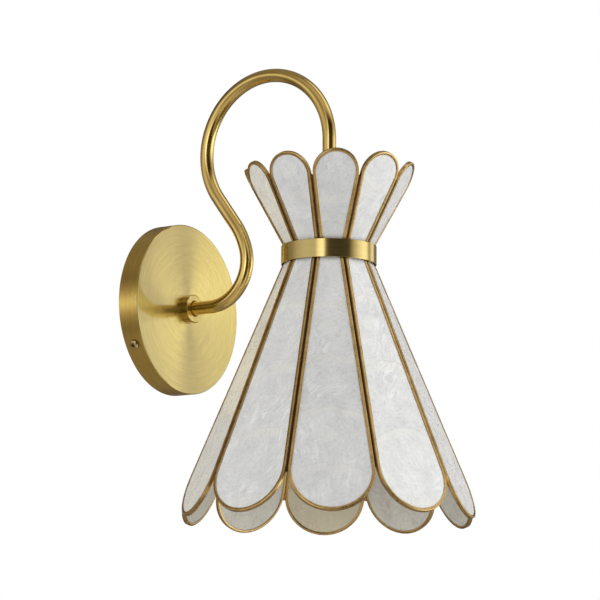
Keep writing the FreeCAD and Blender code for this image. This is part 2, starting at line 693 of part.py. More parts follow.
bind(sk, Sketcher.Constraint("Radius", ids[4], Rb - tb), "(dims.bulb_r - dims.bulb_wall)")
bind(sk, Sketcher.Constraint("DistanceX", -1, 1, ids[0], 1, nr), "dims.neck_r")
bind(sk, Sketcher.Constraint("DistanceY", -1, 1, ids[0], 1, zt), "(0 - dims.neck_top)")
bind(sk, Sketcher.Constraint("DistanceY", -1, 1, ids[0], 2, zl), "(0 - dims.neck_low)")
sk.addConstraint(Sketcher.Constraint("Horizontal", ids[7]))
revolve(glass, sk)
glass.Placement = FreeCAD.Placement(AXIS, FreeCAD.Rotation())
kept.append(glass)

base = new_body("bulb_cap")
sk = new_sketch(base, "section", "XZ_Plane")
t = D("base_t")
polygon(sk, [(0, -D("base_cone")), (D("base_tip_r"), -D("base_cone")), (D("base_r") - 1.6, -(D("base_high") - 0.6)),
             (D("base_r"), -D("base_high")), (D("base_r"), -D("base_low")), (D("base_r") - t, -D("base_low")),
             (D("base_r") - t, -(D("base_high") + 0.6)), (0, -(D("base_high") + 0.6))])
revolve(base, sk)
base.Placement = FreeCAD.Placement(AXIS, FreeCAD.Rotation())
kept.append(base)

foot = new_body("bulb_contact")
sk = new_sketch(foot, "section", "XZ_Plane")
polygon(sk, [(0, -D("base_cone")), (D("foot_r"), -D("base_cone")), (D("foot_r"), -(D("foot_top") + 1.1)),
             (D("foot_r") - 1.8, -(D("foot_top") + 0.2)), (0, -D("foot_top"))])
revolve(foot, sk)
foot.Placement = FreeCAD.Placement(AXIS, FreeCAD.Rotation())
kept.append(foot)

# ---------------------------------------------------------------- tests and files
doc.recompute()
bad = []
for o in doc.Objects:
    if "Invalid" in o.State or "Error" in o.State:
        bad.append("%s %s" % (o.Name, o.State))
labels = [o.Label for o in kept]
if len(set(labels)) != len(labels) or len(labels) > 60:
    bad.append("labels: %d" % len(labels))
for o in kept:
    s = o.Shape
    if s.isNull() or not s.isValid() or s.Volume <= 0:
        bad.append("shape of " + o.Label)
    n = 2 if o.Label == "canopy_screws" else 1
    if len(s.Solids) != n:
        bad.append("%s has %d solids" % (o.Label, len(s.Solids)))
if bad:
    raise RuntimeError("; ".join(bad))
os.makedirs("parts", exist_ok=True)
for o in kept:
    o.Shape.exportStep("parts/%s.step" % o.Label)
print("wrote %d parts" % len(kept))
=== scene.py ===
import math
import bpy
import bmesh
from mathutils import Matrix, Vector, noise


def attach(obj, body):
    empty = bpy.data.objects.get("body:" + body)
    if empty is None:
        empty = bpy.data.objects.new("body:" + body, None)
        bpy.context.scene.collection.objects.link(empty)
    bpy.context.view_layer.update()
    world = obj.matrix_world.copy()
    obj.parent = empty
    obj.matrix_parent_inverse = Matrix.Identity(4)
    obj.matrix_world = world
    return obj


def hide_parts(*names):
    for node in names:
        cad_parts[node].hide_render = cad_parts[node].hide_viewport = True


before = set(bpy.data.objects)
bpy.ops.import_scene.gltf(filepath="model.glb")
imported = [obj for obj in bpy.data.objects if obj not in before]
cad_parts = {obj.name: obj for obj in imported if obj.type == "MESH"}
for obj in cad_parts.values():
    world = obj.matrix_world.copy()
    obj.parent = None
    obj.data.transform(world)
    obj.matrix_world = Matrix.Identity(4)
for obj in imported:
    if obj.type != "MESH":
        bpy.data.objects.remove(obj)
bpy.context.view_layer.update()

scene = bpy.context.scene
MM = 0.001
AX = Vector((0.0, -133.73, 0.0))          # the shade's axis, mm
X3, Y3, Z3 = Vector((1, 0, 0)), Vector((0, 1, 0)), Vector((0, 0, 1))

# ================================================================ camera
cam_data = bpy.data.cameras.new("camera")
cam = bpy.data.objects.new("camera", cam_data)
scene.collection.objects.link(cam)
cam_r = Vector((0.5560454679, -0.8311332762, 0.0055601111))
cam_u = Vector((-0.1421948146, -0.0885360158, 0.9858711927))
cam_b = Vector((-0.8188980842, -0.5489798276, -0.1674128924))
m = Matrix.Identity(4)
for k, c in enumerate((cam_r, cam_u, cam_b)):
    m[0][k], m[1][k], m[2][k] = c
m.translation = Vector((-1.5685563, -1.1617582, -0.3224445))
cam.matrix_world = m
cam_data.sensor_width = 36.0
cam_data.lens = 167.7219
cam_data.clip_start, cam_data.clip_end = 0.05, 60.0
cam_data.dof.use_dof = False
scene.camera = cam


# ================================================================ node helpers
class Graph:
    """A short way to write a material's nodes."""

    def __init__(self, tree):
        self.t = tree

    def add(self, kind, **props):
        n = self.t.nodes.new("ShaderNode" + kind)
        for k, v in props.items():
            setattr(n, k, v)
        return n

    def put(self, socket, v):
        if hasattr(v, "is_output"):
            self.t.links.new(v, socket)
        elif v is not None:
            socket.default_value = v

    def math(self, op, a, b=None, c=None, clamp=False):
        n = self.add("Math", operation=op, use_clamp=clamp)
        for s, v in zip(n.inputs, (a, b, c)):
            self.put(s, v)
        return n.outputs[0]

    def vmath(self, op, a, b=None, scale=None):
        n = self.add("VectorMath", operation=op)
        self.put(n.inputs[0], a)
        if b is not None:
            self.put(n.inputs[1], b)
        if scale is not None:
            self.put(n.inputs["Scale"], scale)
        return n.outputs[1] if op in ("LENGTH", "DOT_PRODUCT", "DISTANCE") else n.outputs[0]

    def noise(self, vec, scale, detail=3.0, rough=0.55, lac=2.0, distort=0.0, color=False):
        n = self.add("TexNoise")
        self.put(n.inputs["Vector"], vec)
        n.inputs["Scale"].default_value = scale
        n.inputs["Detail"].default_value = detail
        n.inputs["Roughness"].default_value = rough
        n.inputs["Lacunarity"].default_value = lac
        n.inputs["Distortion"].default_value = distort
        return n.outputs["Color" if color else "Fac"]

    def voronoi(self, vec, scale, feature="F1", out="Distance", rand=1.0):
        n = self.add("TexVoronoi", feature=feature)
        self.put(n.inputs["Vector"], vec)
        n.inputs["Scale"].default_value = scale
        n.inputs["Randomness"].default_value = rand
        return n.outputs[out]

    def ramp(self, fac, stops, mode="LINEAR"):
        n = self.add("ValToRGB")
        n.color_ramp.interpolation = mode
        e = n.color_ramp.elements
        while len(e) > 1:
            e.remove(e[-1])
        for k, (p, c) in enumerate(stops):
            el = e[0] if k == 0 else e.new(p)
            el.position = p
            el.color = (c, c, c, 1) if isinstance(c, (int, float)) else (*c, 1)
        self.put(n.inputs[0], fac)
        return n.outputs[0]

    def span(self, v, a, b, c=0.0, d=1.0, smooth=False):
        n = self.add("MapRange", interpolation_type="SMOOTHSTEP" if smooth else "LINEAR", clamp=True)
        for s, x in zip(n.inputs, (v, a, b, c, d)):
            self.put(s, x)
        return n.outputs[0]

    def mix(self, fac, a, b, kind="MIX"):
        n = self.add("Mix", data_type="RGBA", blend_type=kind)
        self.put(n.inputs[0], fac)
        for s, v in ((n.inputs[6], a), (n.inputs[7], b)):
            self.put(s, (*v, 1) if isinstance(v, tuple) and len(v) == 3 else v)
        return n.outputs[2]

    def combine(self, x, y, z):
        n = self.add("CombineXYZ")
        for s, v in zip(n.inputs, (x, y, z)):
            self.put(s, v)
        return n.outputs[0]

    def split(self, v):
        n = self.add("SeparateXYZ")
        self.put(n.inputs[0], v)
        return n.outputs

    def attr(self, name, out="Fac"):
        n = self.add("Attribute", attribute_type="GEOMETRY", attribute_name=name)
        return n.outputs[out]

    def place(self):
        return self.add("TexCoord").outputs["Object"]

    def bump(self, height, strength, distance, normal=None):
        n = self.add("Bump")
        n.inputs["Strength"].default_value = strength
        n.inputs["Distance"].default_value = distance
        self.put(n.inputs["Height"], height)
        if normal is not None:
            self.put(n.inputs["Normal"], normal)
        return n.outputs[0]


def material(name):
    mat = bpy.data.materials.new(name)
    mat.use_nodes = True
    t = mat.node_tree
    t.nodes.clear()
    g = Graph(t)
    out = g.add("OutputMaterial")
    p = g.add("BsdfPrincipled")
    t.links.new(p.outputs[0], out.inputs[0])
    return mat, g, p


def stretched(g, along, around):
    """The 'ring' attribute holds (distance along, cos, sin) of a turned or swept form."""
    r = g.split(g.attr("ring", "Vector"))
    return g.combine(g.math("MULTIPLY", r[0], along), g.math("MULTIPLY", r[1], around), g.math("MULTIPLY", r[2], around))


PITCH = 46.0                               # mm from one shell leaf's edge to the next


# ================================================================ materials
def brushed_brass(name, axis, lines=5200.0, base=(0.82, 0.672, 0.295), dark=(0.70, 0.562, 0.228), aniso=0.90,
                  rough=(0.24, 0.32), strength=0.035, deep=None, dish=0.0, arcs=(4.0, 1.5), coarse=0.16, spread=(0.36, 0.64),
                  lacquer=False, edge=(-0.0149, -0.01515)):
    """Satin brass with turned brush lines that run round the piece."""
    mat, g, p = material(name)
    fine = g.noise(stretched(g, lines * 0.55, arcs[0]), 1.0, 4.0, 0.62)
    broad = g.noise(stretched(g, lines * coarse, arcs[1]), 1.0, 3.0, 0.6)
    tone = g.noise(g.place(), 38.0, 3.0, 0.5)
    f = g.math("ADD", g.math("MULTIPLY", fine, 0.38), g.math("ADD", g.math("MULTIPLY", broad, 0.44), g.math("MULTIPLY", tone, 0.18)))
    col = g.mix(g.span(f, spread[0], spread[1]), dark, base)
    if deep:                                   # painted shade: the side is coloured a deeper, darker gold than the face, which begins at edge
        y = g.split(g.place())[1]
        face = g.span(y, edge[0], edge[1])
        col = g.mix(face, g.mix(g.span(f, 0.36, 0.64), deep[0], deep[1]), col)
        if lacquer:                            # clear lacquer on the face gives it its sharp, faint mirror image
            g.put(p.inputs["Coat Weight"], face)
            p.inputs["Coat IOR"].default_value = 1.95
            p.inputs["Coat Roughness"].default_value = 0.06
    g.put(p.inputs["Base Color"], col)
    p.inputs["Metallic"].default_value = 1.0
    g.put(p.inputs["Roughness"], g.span(f, 0.32, 0.68, rough[0], rough[1]))
    p.inputs["Anisotropic"].default_value = aniso
    p.inputs["Anisotropic Rotation"].default_value = 0.25      # the highlight spreads across the brush lines
    tan = g.add("Tangent", direction_type="RADIAL", axis=axis)
    g.put(p.inputs["Tangent"], tan.outputs[0])
    normal = g.bump(g.math("ADD", fine, g.math("MULTIPLY", broad, 0.4)), strength, 0.00004)
    if dish:                                   # the spun face is a hair hollow: dish is its slope at the edge
        q = g.split(g.place())
        rr = g.math("ADD", g.math("MULTIPLY", q[0], q[0]), g.math("MULTIPLY", q[2], q[2]))
        normal = g.bump(g.math("MULTIPLY", rr, 0.5 * dish / 0.06), 1.0, 1.0, normal)
    g.put(p.inputs["Normal"], normal)
    return mat


def drawn_brass(name, base=(0.83, 0.625, 0.220), dark=(0.69, 0.49, 0.150), rough=(0.12, 0.18)):
    """Polished drawn tube: faint lines along its length, a few soft stains."""
    mat, g, p = material(name)
    lines = g.noise(stretched(g, 18.0, 26.0), 1.0, 4.0, 0.6)
    stain = g.noise(g.place(), 55.0, 4.0, 0.55, distort=0.4)
    spots = g.voronoi(g.place(), 420.0)
    f = g.math("ADD", g.math("MULTIPLY", lines, 0.5), g.math("MULTIPLY", stain, 0.5))
    col = g.mix(g.span(f, 0.38, 0.60), dark, base)
    col = g.mix(g.math("MULTIPLY", g.span(spots, 0.10, 0.04), 0.15), col, (0.42, 0.27, 0.09))
    g.put(p.inputs["Base Color"], col)
    p.inputs["Metallic"].default_value = 1.0
    g.put(p.inputs["Roughness"], g.span(f, 0.35, 0.65, rough[0], rough[1]))
    g.put(p.inputs["Normal"], g.bump(lines, 0.02, 0.00003))
    return mat


def frame_brass(name):
    """Aged brass channel: soft mottling, edges coloured brighter (wear and painted highlight), dark patina and painted
    shade where frames meet.
    """
    mat, g, p = material(name)
    o = g.place()
    big = g.noise(o, 70.0, 4.0, 0.6, distort=0.3)
    small = g.noise(o, 520.0, 3.0, 0.6)
    scratch = g.noise(g.vmath("MULTIPLY", o, (900.0, 900.0, 90.0)), 1.0, 2.0, 0.6)
    f = g.math("ADD", g.math("MULTIPLY", big, 0.5), g.math("ADD", g.math("MULTIPLY", small, 0.25), g.math("MULTIPLY", scratch, 0.25)))
    col = g.mix(g.span(f, 0.36, 0.62), (0.48, 0.310, 0.108), (0.86, 0.620, 0.262))
    # painted highlight, partly wear: the faces' edges are coloured brighter
    wear_and_highlight = g.math("MULTIPLY", g.attr("wear_and_highlight"), g.span(small, 0.35, 0.6, 0.4, 1.0))
    col = g.mix(g.math("MULTIPLY", wear_and_highlight, 0.8), col, (0.88, 0.70, 0.36))
    # painted shade: dark colour in the gap between frames and in the channel's hollow, with some patina
    gap_patina_and_shade = g.math("MULTIPLY", g.attr("gap_patina_and_shade"), g.span(small, 0.2, 0.5, 0.8, 1.0), clamp=True)
    col = g.mix(gap_patina_and_shade, col, (0.040, 0.020, 0.008))
    g.put(p.inputs["Base Color"], col)
    g.put(p.inputs["Metallic"], g.math("SUBTRACT", 1.0, g.math("MULTIPLY", gap_patina_and_shade, 0.8)))
    r = g.span(f, 0.32, 0.68, 0.22, 0.37)
    g.put(p.inputs["Roughness"], g.math("ADD", r, g.math("MULTIPLY", gap_patina_and_shade, 0.35)))
    g.put(p.inputs["Normal"], g.bump(g.math("ADD", small, g.math("MULTIPLY", scratch, 0.6)), 0.16, 0.00008))
    return mat


def seam_solder_and_shade(name):
    # solder in the gap between frames: near black where it lies deep, as painted shade; brass where it rises up their
    # sides
    mat, g, p = material(name)
    o = g.place()
    n = g.noise(o, 650.0, 3.0, 0.6)
    rise = g.span(g.math("ADD", g.attr("wear_and_highlight"), g.math("MULTIPLY", g.math("SUBTRACT", n, 0.5), 0.35)), 0.30, 0.80, smooth=True)
    dark = g.mix(g.span(n, 0.35, 0.65), (0.020, 0.008, 0.003), (0.075, 0.036, 0.012))
    g.put(p.inputs["Base Color"], g.mix(rise, dark, g.mix(g.span(n, 0.35, 0.65), (0.25, 0.145, 0.042), (0.42, 0.26, 0.085))))
    g.put(p.inputs["Metallic"], g.span(rise, 0.0, 1.0, 0.4, 0.95))
    g.put(p.inputs["Roughness"], g.math("SUBTRACT", g.span(n, 0.3, 0.7, 0.55, 0.8), g.math("MULTIPLY", rise, 0.22)))
    g.put(p.inputs["Normal"], g.bump(n, 0.3, 0.0002))
    return mat


def capiz(name):
    """Window-pane shell: round leaves laid edge over edge down the petal, each with its eye and growth rings."""
    mat, g, p = material(name)
    o = g.place()
    leaf = g.split(g.attr("leaf", "Vector"))             # across and down the petal in mm, and its number
    slow = g.noise(o, 55.0, 3.0, 0.55, color=True)
    sl = g.split(slow)
    X = g.math("ADD", leaf[0], g.math("MULTIPLY", g.math("SUBTRACT", sl[0], 0.5), 5.0))
    Y = g.math("ADD", leaf[1], g.math("MULTIPLY", g.math("SUBTRACT", sl[1], 0.5), 5.0))
    # which leaf: their upper edges are arcs, PITCH apart
    arc = g.math("ADD", Y, g.math("MULTIPLY", g.math("MULTIPLY", X, X), -0.5 / 36.0))
    turn_no = g.math("DIVIDE", arc, PITCH)
    no = g.math("FLOOR", turn_no)
    part = g.math("MULTIPLY", g.math("SUBTRACT", turn_no, no), PITCH)       # mm below the leaf's edge
    left = g.math("SUBTRACT", PITCH, part)
    wn = g.add("TexWhiteNoise", noise_dimensions="2D")
    g.put(wn.inputs["Vector"], g.combine(no, leaf[2], 0.0))
    rnd = g.split(wn.outputs["Color"])
    # the eye, and rings round it
    ex = g.math("SUBTRACT", leaf[0], g.math("MULTIPLY", g.math("SUBTRACT", rnd[0], 0.5), 9.0))
    ey = g.math("SUBTRACT", part, g.math("ADD", 20.0, g.math("MULTIPLY", g.math("SUBTRACT", rnd[1], 0.5), 8.0)))
    far = g.math("SQRT", g.math("ADD", g.math("MULTIPLY", ex, ex), g.math("ADD", g.math("MULTIPLY", ey, ey), 0.01)))
    far = g.math("ADD", far, g.math("MULTIPLY", g.math("SUBTRACT", sl[2], 0.5), 4.0))
    cs, sn = g.math("DIVIDE", ex, far), g.math("DIVIDE", ey, far)
    rings = g.noise(g.combine(g.math("MULTIPLY", far, 0.85), g.math("MULTIPLY", cs, 2.2), g.math("ADD", g.math("MULTIPLY", sn, 2.2), g.math("MULTIPLY", no, 9.0))),
                    1.0, 4.0, 0.62, distort=0.35)
    rays = g.noise(g.combine(g.math("MULTIPLY", far, 0.10), g.math("MULTIPLY", cs, 9.0), g.math("ADD", g.math("MULTIPLY", sn, 9.0), g.math("MULTIPLY", no, 5.0))),
                   1.0, 4.0, 0.62)
    cloud = g.noise(o, 85.0, 5.0, 0.62, distort=0.4)
    grain = g.noise(o, 430.0, 4.0, 0.66, distort=0.8)
    fibre = g.noise(g.vmath("MULTIPLY", o, (420.0, 420.0, 110.0)), 1.0, 4.0, 0.62, distort=0.9)
    f = g.math("ADD", g.math("MULTIPLY", rings, 0.15), g.math("ADD", g.math("MULTIPLY", cloud, 0.36), g.math("ADD", g.math("MULTIPLY", grain, 0.24), g.math("MULTIPLY", rays, 0.06))))
    f = g.math("ADD", f, g.math("MULTIPLY", fibre, 0.19))
    f = g.math("ADD", f, g.math("MULTIPLY", g.math("SUBTRACT", rnd[2], 0.5), 0.05))
    col = g.mix(g.span(f, 0.355, 0.645), (0.592, 0.594, 0.592), (0.828, 0.830, 0.818))
    # bright scale marks
    mark = g.math("MULTIPLY", g.span(rings, 0.57, 0.66), g.span(g.noise(o, 95.0, 2.0, 0.5), 0.52, 0.60))
    col = g.mix(g.math("MULTIPLY", mark, 0.65), col, (0.92, 0.92, 0.90))
    # fine creases, all one way on a leaf, in a few patches
    turn_a = g.math("ADD", 0.5, g.math("MULTIPLY", rnd[2], 1.6))
    ca, sa = g.math("COSINE", turn_a), g.math("SINE", turn_a)
    wx = g.math("ADD", leaf[0], g.math("MULTIPLY", g.math("SUBTRACT", sl[1], 0.5), 14.0))
    wy = g.math("ADD", leaf[1], g.math("MULTIPLY", g.math("SUBTRACT", sl[2], 0.5), 14.0))
    cu = g.math("ADD", g.math("MULTIPLY", wx, ca), g.math("MULTIPLY", wy, sa))
    cv = g.math("SUBTRACT", g.math("MULTIPLY", wy, ca), g.math("MULTIPLY", wx, sa))
    crease = g.noise(g.combine(g.math("MULTIPLY", cu, 0.075), g.math("MULTIPLY", cv, 0.52), g.math("MULTIPLY", leaf[2], 3.7)), 1.0, 3.0, 0.6, distort=0.25)
    patch = g.math("MULTIPLY", g.span(g.noise(o, 42.0, 2.0, 0.5), 0.46, 0.58), g.span(rnd[0], 0.15, 0.75, 0.35, 1.0))
    col = g.mix(g.math("MULTIPLY", g.math("MULTIPLY", g.span(crease, 0.54, 0.62), patch), 0.56), col, (0.95, 0.95, 0.93))
    col = g.mix(g.math("MULTIPLY", g.math("MULTIPLY", g.span(crease, 0.46, 0.38), patch), 0.28), col, (0.50, 0.505, 0.51))
    # the eye is a smoother, creamier disc
    shown = g.span(rnd[1], 0.25, 0.55)
    eye = g.math("MULTIPLY", g.span(far, 7.4, 5.6, smooth=True), shown)
    col = g.mix(g.math("MULTIPLY", eye, 0.34), col, (0.80, 0.80, 0.73))
    halo = g.math("MULTIPLY", g.math("MULTIPLY", g.span(far, 6.6, 7.4), g.span(far, 9.2, 7.6)), shown)
    col = g.mix(g.math("MULTIPLY", halo, 0.20), col, (0.54, 0.55, 0.56))
    # two leaves thick just below an edge: creamy strip with a broken tan line on top
    lap = g.math("MULTIPLY", g.span(part, 7.5, 4.5, smooth=True), g.span(cloud, 0.30, 0.60, 0.45, 1.0))
    col = g.mix(g.math("MULTIPLY", lap, 0.28), col, (0.800, 0.785, 0.690))
    come = g.span(g.noise(o, 40.0, 2.0, 0.5), 0.40, 0.62)
    seam = g.math("MULTIPLY", g.math("ADD", g.span(part, 0.50, 0.0), g.span(left, 0.40, 0.0), clamp=True), come)
    col = g.mix(g.math("MULTIPLY", seam, 0.30), col, (0.40, 0.32, 0.20))
    # hair cracks
    crack = g.voronoi(g.vmath("ADD", o, g.vmath("SCALE", g.noise(o, 120.0, 3.0, 0.6, color=True), scale=0.012)), 95.0, "DISTANCE_TO_EDGE")
    where = g.span(g.noise(o, 48.0, 2.0, 0.5), 0.56, 0.66)
    hair = g.math("MULTIPLY", g.span(crack, 0.020, 0.0), where)
    col = g.mix(g.math("MULTIPLY", hair, 0.16), col, (0.36, 0.33, 0.29))
    # painted shade: a darker, warmer tint on petals facing away from the lamps, more on the inner faces
    shade_tint = g.math("MULTIPLY", g.attr("shade_tint"), g.span(cloud, 0.3, 0.7, 0.8, 1.15), clamp=True)
    col = g.mix(shade_tint, col, g.mix(g.span(f, 0.37, 0.63), (0.62, 0.560, 0.405), (0.80, 0.742, 0.575)))
    # age stains, only where the painted shade tint is strong (the inner faces)
    age = g.noise(o, 62.0, 5.0, 0.68, distort=0.9)
    stain = g.math("MULTIPLY", g.span(age, 0.53, 0.70), g.span(g.attr("shade_tint"), 0.39, 0.42, 0.0, 0.48))
    col = g.mix(stain, col, (0.50, 0.39, 0.31))
    # painted shade: a further darker, yellower tint on the most shaded inner face
    col = g.mix(g.span(g.attr("shade_tint"), 0.85, 1.0, 0.0, 0.55), col, (0.66, 0.585, 0.39))
    fleck = g.math("MULTIPLY", g.span(grain, 0.60, 0.68), g.span(g.attr("shade_tint"), 0.25, 0.8, 0.0, 0.55))
    col = g.mix(fleck, col, (0.93, 0.90, 0.82))
    g.put(p.inputs["Base Color"], col)
    p.inputs["Metallic"].default_value = 0.0
    g.put(p.inputs["Roughness"], g.span(g.math("ADD", g.math("MULTIPLY", rings, 0.6), g.math("MULTIPLY", grain, 0.4)), 0.38, 0.62, 0.20, 0.44))
    p.inputs["Coat Weight"].default_value = 0.25
    p.inputs["Coat Roughness"].default_value = 0.12
    p.inputs["Sheen Weight"].default_value = 0.05
    p.inputs["Subsurface Weight"].default_value = 0.0
    h = g.math("ADD", g.math("MULTIPLY", rings, 0.5), g.math("ADD", g.math("MULTIPLY", grain, 0.27), g.math("MULTIPLY", cloud, 1.2)))
    h = g.math("SUBTRACT", h, g.math("ADD", g.math("MULTIPLY", seam, 0.5), g.math("MULTIPLY", hair, 0.4)))
    h = g.math("ADD", h, g.math("MULTIPLY", g.math("MULTIPLY", crease, patch), 0.5))
    g.put(p.inputs["Normal"], g.bump(h, 0.30, 0.00035))
    return mat


def steel(name):
    mat, g, p = material(name)
    o = g.place()
    cell = g.voronoi(o, 130.0, "F1", "Color")
    n = g.noise(o, 240.0, 4.0, 0.6)
    f = g.math("ADD", g.math("MULTIPLY", g.split(cell)[0], 0.5), g.math("MULTIPLY", n, 0.5))
    g.put(p.inputs["Base Color"], g.mix(f, (0.40, 0.41, 0.42), (0.64, 0.65, 0.65)))
    p.inputs["Metallic"].default_value = 1.0
    g.put(p.inputs["Roughness"], g.span(f, 0.2, 0.8, 0.28, 0.48))
    g.put(p.inputs["Normal"], g.bump(n, 0.12, 0.0001))
    return mat


def plain_brass(name, base, dark, rough, metal=1.0, scale=300.0, bump=0.10):
    mat, g, p = material(name)
    o = g.place()
    n = g.noise(o, scale, 4.0, 0.6, distort=0.3)
    b = g.noise(o, scale * 0.2, 3.0, 0.5)
    f = g.math("ADD", g.math("MULTIPLY", n, 0.5), g.math("MULTIPLY", b, 0.5))
    g.put(p.inputs["Base Color"], g.mix(g.span(f, 0.36, 0.64), dark, base))
    p.inputs["Metallic"].default_value = metal
    g.put(p.inputs["Roughness"], g.span(f, 0.3, 0.7, rough[0], rough[1]))
    g.put(p.inputs["Normal"], g.bump(n, bump, 0.0001))
    return mat


def porcelain(name):
    mat, g, p = material(name)
    o = g.place()
    n = g.noise(o, 160.0, 4.0, 0.55)
    s = g.voronoi(o, 900.0)
    col = g.mix(g.span(n, 0.35, 0.65), (0.74, 0.72, 0.67), (0.84, 0.83, 0.79))
    col = g.mix(g.math("MULTIPLY", g.span(s, 0.07, 0.03), 0.5), col, (0.45, 0.38, 0.28))
    g.put(p.inputs["Base Color"], col)
    g.put(p.inputs["Roughness"], g.span(n, 0.3, 0.7, 0.16, 0.28))
    p.inputs["Coat Weight"].default_value = 0.5
    p.inputs["Coat Roughness"].default_value = 0.08
    g.put(p.inputs["Normal"], g.bump(n, 0.10, 0.0002))
    return mat


def milk_glass(name):
    mat, g, p = material(name)
    o = g.place()
    n = g.noise(o, 900.0, 3.0, 0.6)
    b = g.noise(o, 45.0, 3.0, 0.5)
    g.put(p.inputs["Base Color"], g.mix(g.span(b, 0.35, 0.65), (0.83, 0.83, 0.80), (0.90, 0.90, 0.88)))
    g.put(p.inputs["Roughness"], g.span(n, 0.3, 0.7, 0.30, 0.42))
    p.inputs["Coat Weight"].default_value = 0.4
    p.inputs["Coat Roughness"].default_value = 0.15
    p.inputs["IOR"].default_value = 1.5
    g.put(p.inputs["Normal"], g.bump(n, 0.06, 0.0001))
    return mat


M_CUP = brushed_brass("turned_brass", "Y", rough=(0.205, 0.275), arcs=(7.0, 2.6), coarse=0.125, spread=(0.375, 0.625),
                      base=(0.82, 0.650, 0.182), dark=(0.655, 0.508, 0.120), lacquer=True, aniso=1.0, deep=((0.66, 0.46, 0.120), (0.80, 0.575, 0.160)), dish=0.006)
M_BAND = brushed_brass("rolled_brass", "Z", lines=5200.0, base=(0.73, 0.580, 0.235), dark=(0.62, 0.48, 0.18), rough=(0.17, 0.23))
M_ARM = drawn_brass("drawn_brass")
M_COLLAR = brushed_brass("collar_brass", "Y", lines=5200.0, base=(0.86, 0.69, 0.25), dark=(0.72, 0.55, 0.18), aniso=0.45,
                         rough=(0.14, 0.22), strength=0.05, deep=((0.40, 0.275, 0.085), (0.56, 0.405, 0.135)), edge=(-0.0210, -0.0214))
M_FRAME = frame_brass("aged_channel_brass")
M_SOLDER_AND_SHADE = seam_solder_and_shade("solder_and_gap_shade")
M_SHELL = capiz("capiz_shell")
M_STEEL = steel("zinc_steel")
M_INNER = plain_brass("raw_brass", (0.70, 0.50, 0.21), (0.50, 0.33, 0.12), (0.26, 0.42))
M_SCREW = plain_brass("plated_screw", (0.80, 0.62, 0.33), (0.58, 0.42, 0.19), (0.10, 0.20), scale=600.0)
M_RECESS_SHADE = plain_brass("screw_recess_shade", (0.085, 0.055, 0.026), (0.035, 0.022, 0.010), (0.40, 0.60), metal=0.5, scale=700.0)
M_EARTH = plain_brass("green_earth_screw", (0.05, 0.26, 0.09), (0.03, 0.15, 0.05), (0.28, 0.40), metal=0.55, scale=700.0)
M_PORC = porcelain("glazed_holder")
M_LIVE = plain_brass("live_metal", (0.80, 0.64, 0.38), (0.62, 0.46, 0.24), (0.20, 0.34), scale=500.0)
M_BULBCAP = plain_brass("nickel_cap", (0.74, 0.72, 0.67), (0.58, 0.56, 0.51), (0.18, 0.32), scale=500.0)
M_VITRITE = plain_brass("black_insulator", (0.022, 0.022, 0.026), (0.012, 0.012, 0.015), (0.10, 0.20), metal=0.0, scale=400.0)
M_GLASS = milk_glass("frosted_bulb")


# ================================================================ mesh helpers
def finish_mesh(name, verts, faces, mats, nodes, body="root", sharp=38.0, attrs=None, fmat=None, weld=False, even=True):
    me = bpy.data.meshes.new(name)
    me.from_pydata([(v[0] * MM, v[1] * MM, v[2] * MM) for v in verts], [], faces)
    for key, (kind, values) in (attrs or {}).items():
        a = me.attributes.new(key, kind, "POINT")
        if kind == "FLOAT":
            a.data.foreach_set("value", values)
        else:
            a.data.foreach_set("vector", [c for v in values for c in v])
    for mt in mats:
        me.materials.append(mt)
    if fmat:
        me.polygons.foreach_set("material_index", fmat)
    bm = bmesh.new()
    bm.from_mesh(me)
    if weld:
        bmesh.ops.remove_doubles(bm, verts=bm.verts, dist=1e-7)
    bmesh.ops.recalc_face_normals(bm, faces=bm.faces)
    bm.to_mesh(me)
    bm.free()
    return dress(name, me, nodes, body, sharp, even)


def dress(name, me, nodes, body="root", sharp=38.0, even=True):
    me.polygons.foreach_set("use_smooth", [True] * len(me.polygons))
    me.set_sharp_from_angle(angle=math.radians(sharp))
    me.update()
    ob = bpy.data.objects.new(name, me)
    scene.collection.objects.link(ob)
    if even:
        w = ob.modifiers.new("even_normals", "WEIGHTED_NORMAL")
        w.keep_sharp = True
        w.mode = "FACE_AREA"
    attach(ob, body)
    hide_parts(*nodes)
    return ob


def fillet(pts, rads, seg=5, closed=True):
    """Rounds the corners of a flat outline."""
    n = len(pts)
    out = []
    for i in range(n):
        r = rads[i] if isinstance(rads, (list, tuple)) else rads
        if r <= 0 or (not closed and i in (0, n - 1)):
            out.append(tuple(pts[i]))
            continue
        a, b, c = Vector(pts[i - 1]), Vector(pts[i]), Vector(pts[(i + 1) % n])
        u, v = (a - b), (c - b)
        lu, lv = u.length, v.length
        u.normalize()
        v.normalize()
        ang = math.acos(max(-1, min(1, u.dot(v))))
        if ang > math.pi - 0.02:
            out.append(tuple(b))
            continue
        t = min(r / math.tan(ang / 2), 0.46 * lu, 0.46 * lv)
        rr = t * math.tan(ang / 2)
        mid = b + (u + v).normalized() * (rr / math.sin(ang / 2))
        p1, p2 = b + u * t - mid, b + v * t - mid
        a1 = math.atan2(p1.y, p1.x)
        da = (math.atan2(p2.y, p2.x) - a1 + math.pi) % (2 * math.pi) - math.pi
        for k in range(seg + 1):
            q = a1 + da * k / seg
            out.append((mid.x + rr * math.cos(q), mid.y + rr * math.sin(q)))
    return out


def refine(pts, step, closed=True):
    out = []
    n = len(pts)
    for i in range(n if closed else n - 1):
        a, b = Vector(pts[i]), Vector(pts[(i + 1) % n])
        k = max(1, int(math.ceil((b - a).length / step)))
        for j in range(k):
            out.append(tuple(a.lerp(b, j / k)))
    if not closed:
        out.append(tuple(pts[-1]))
    return out


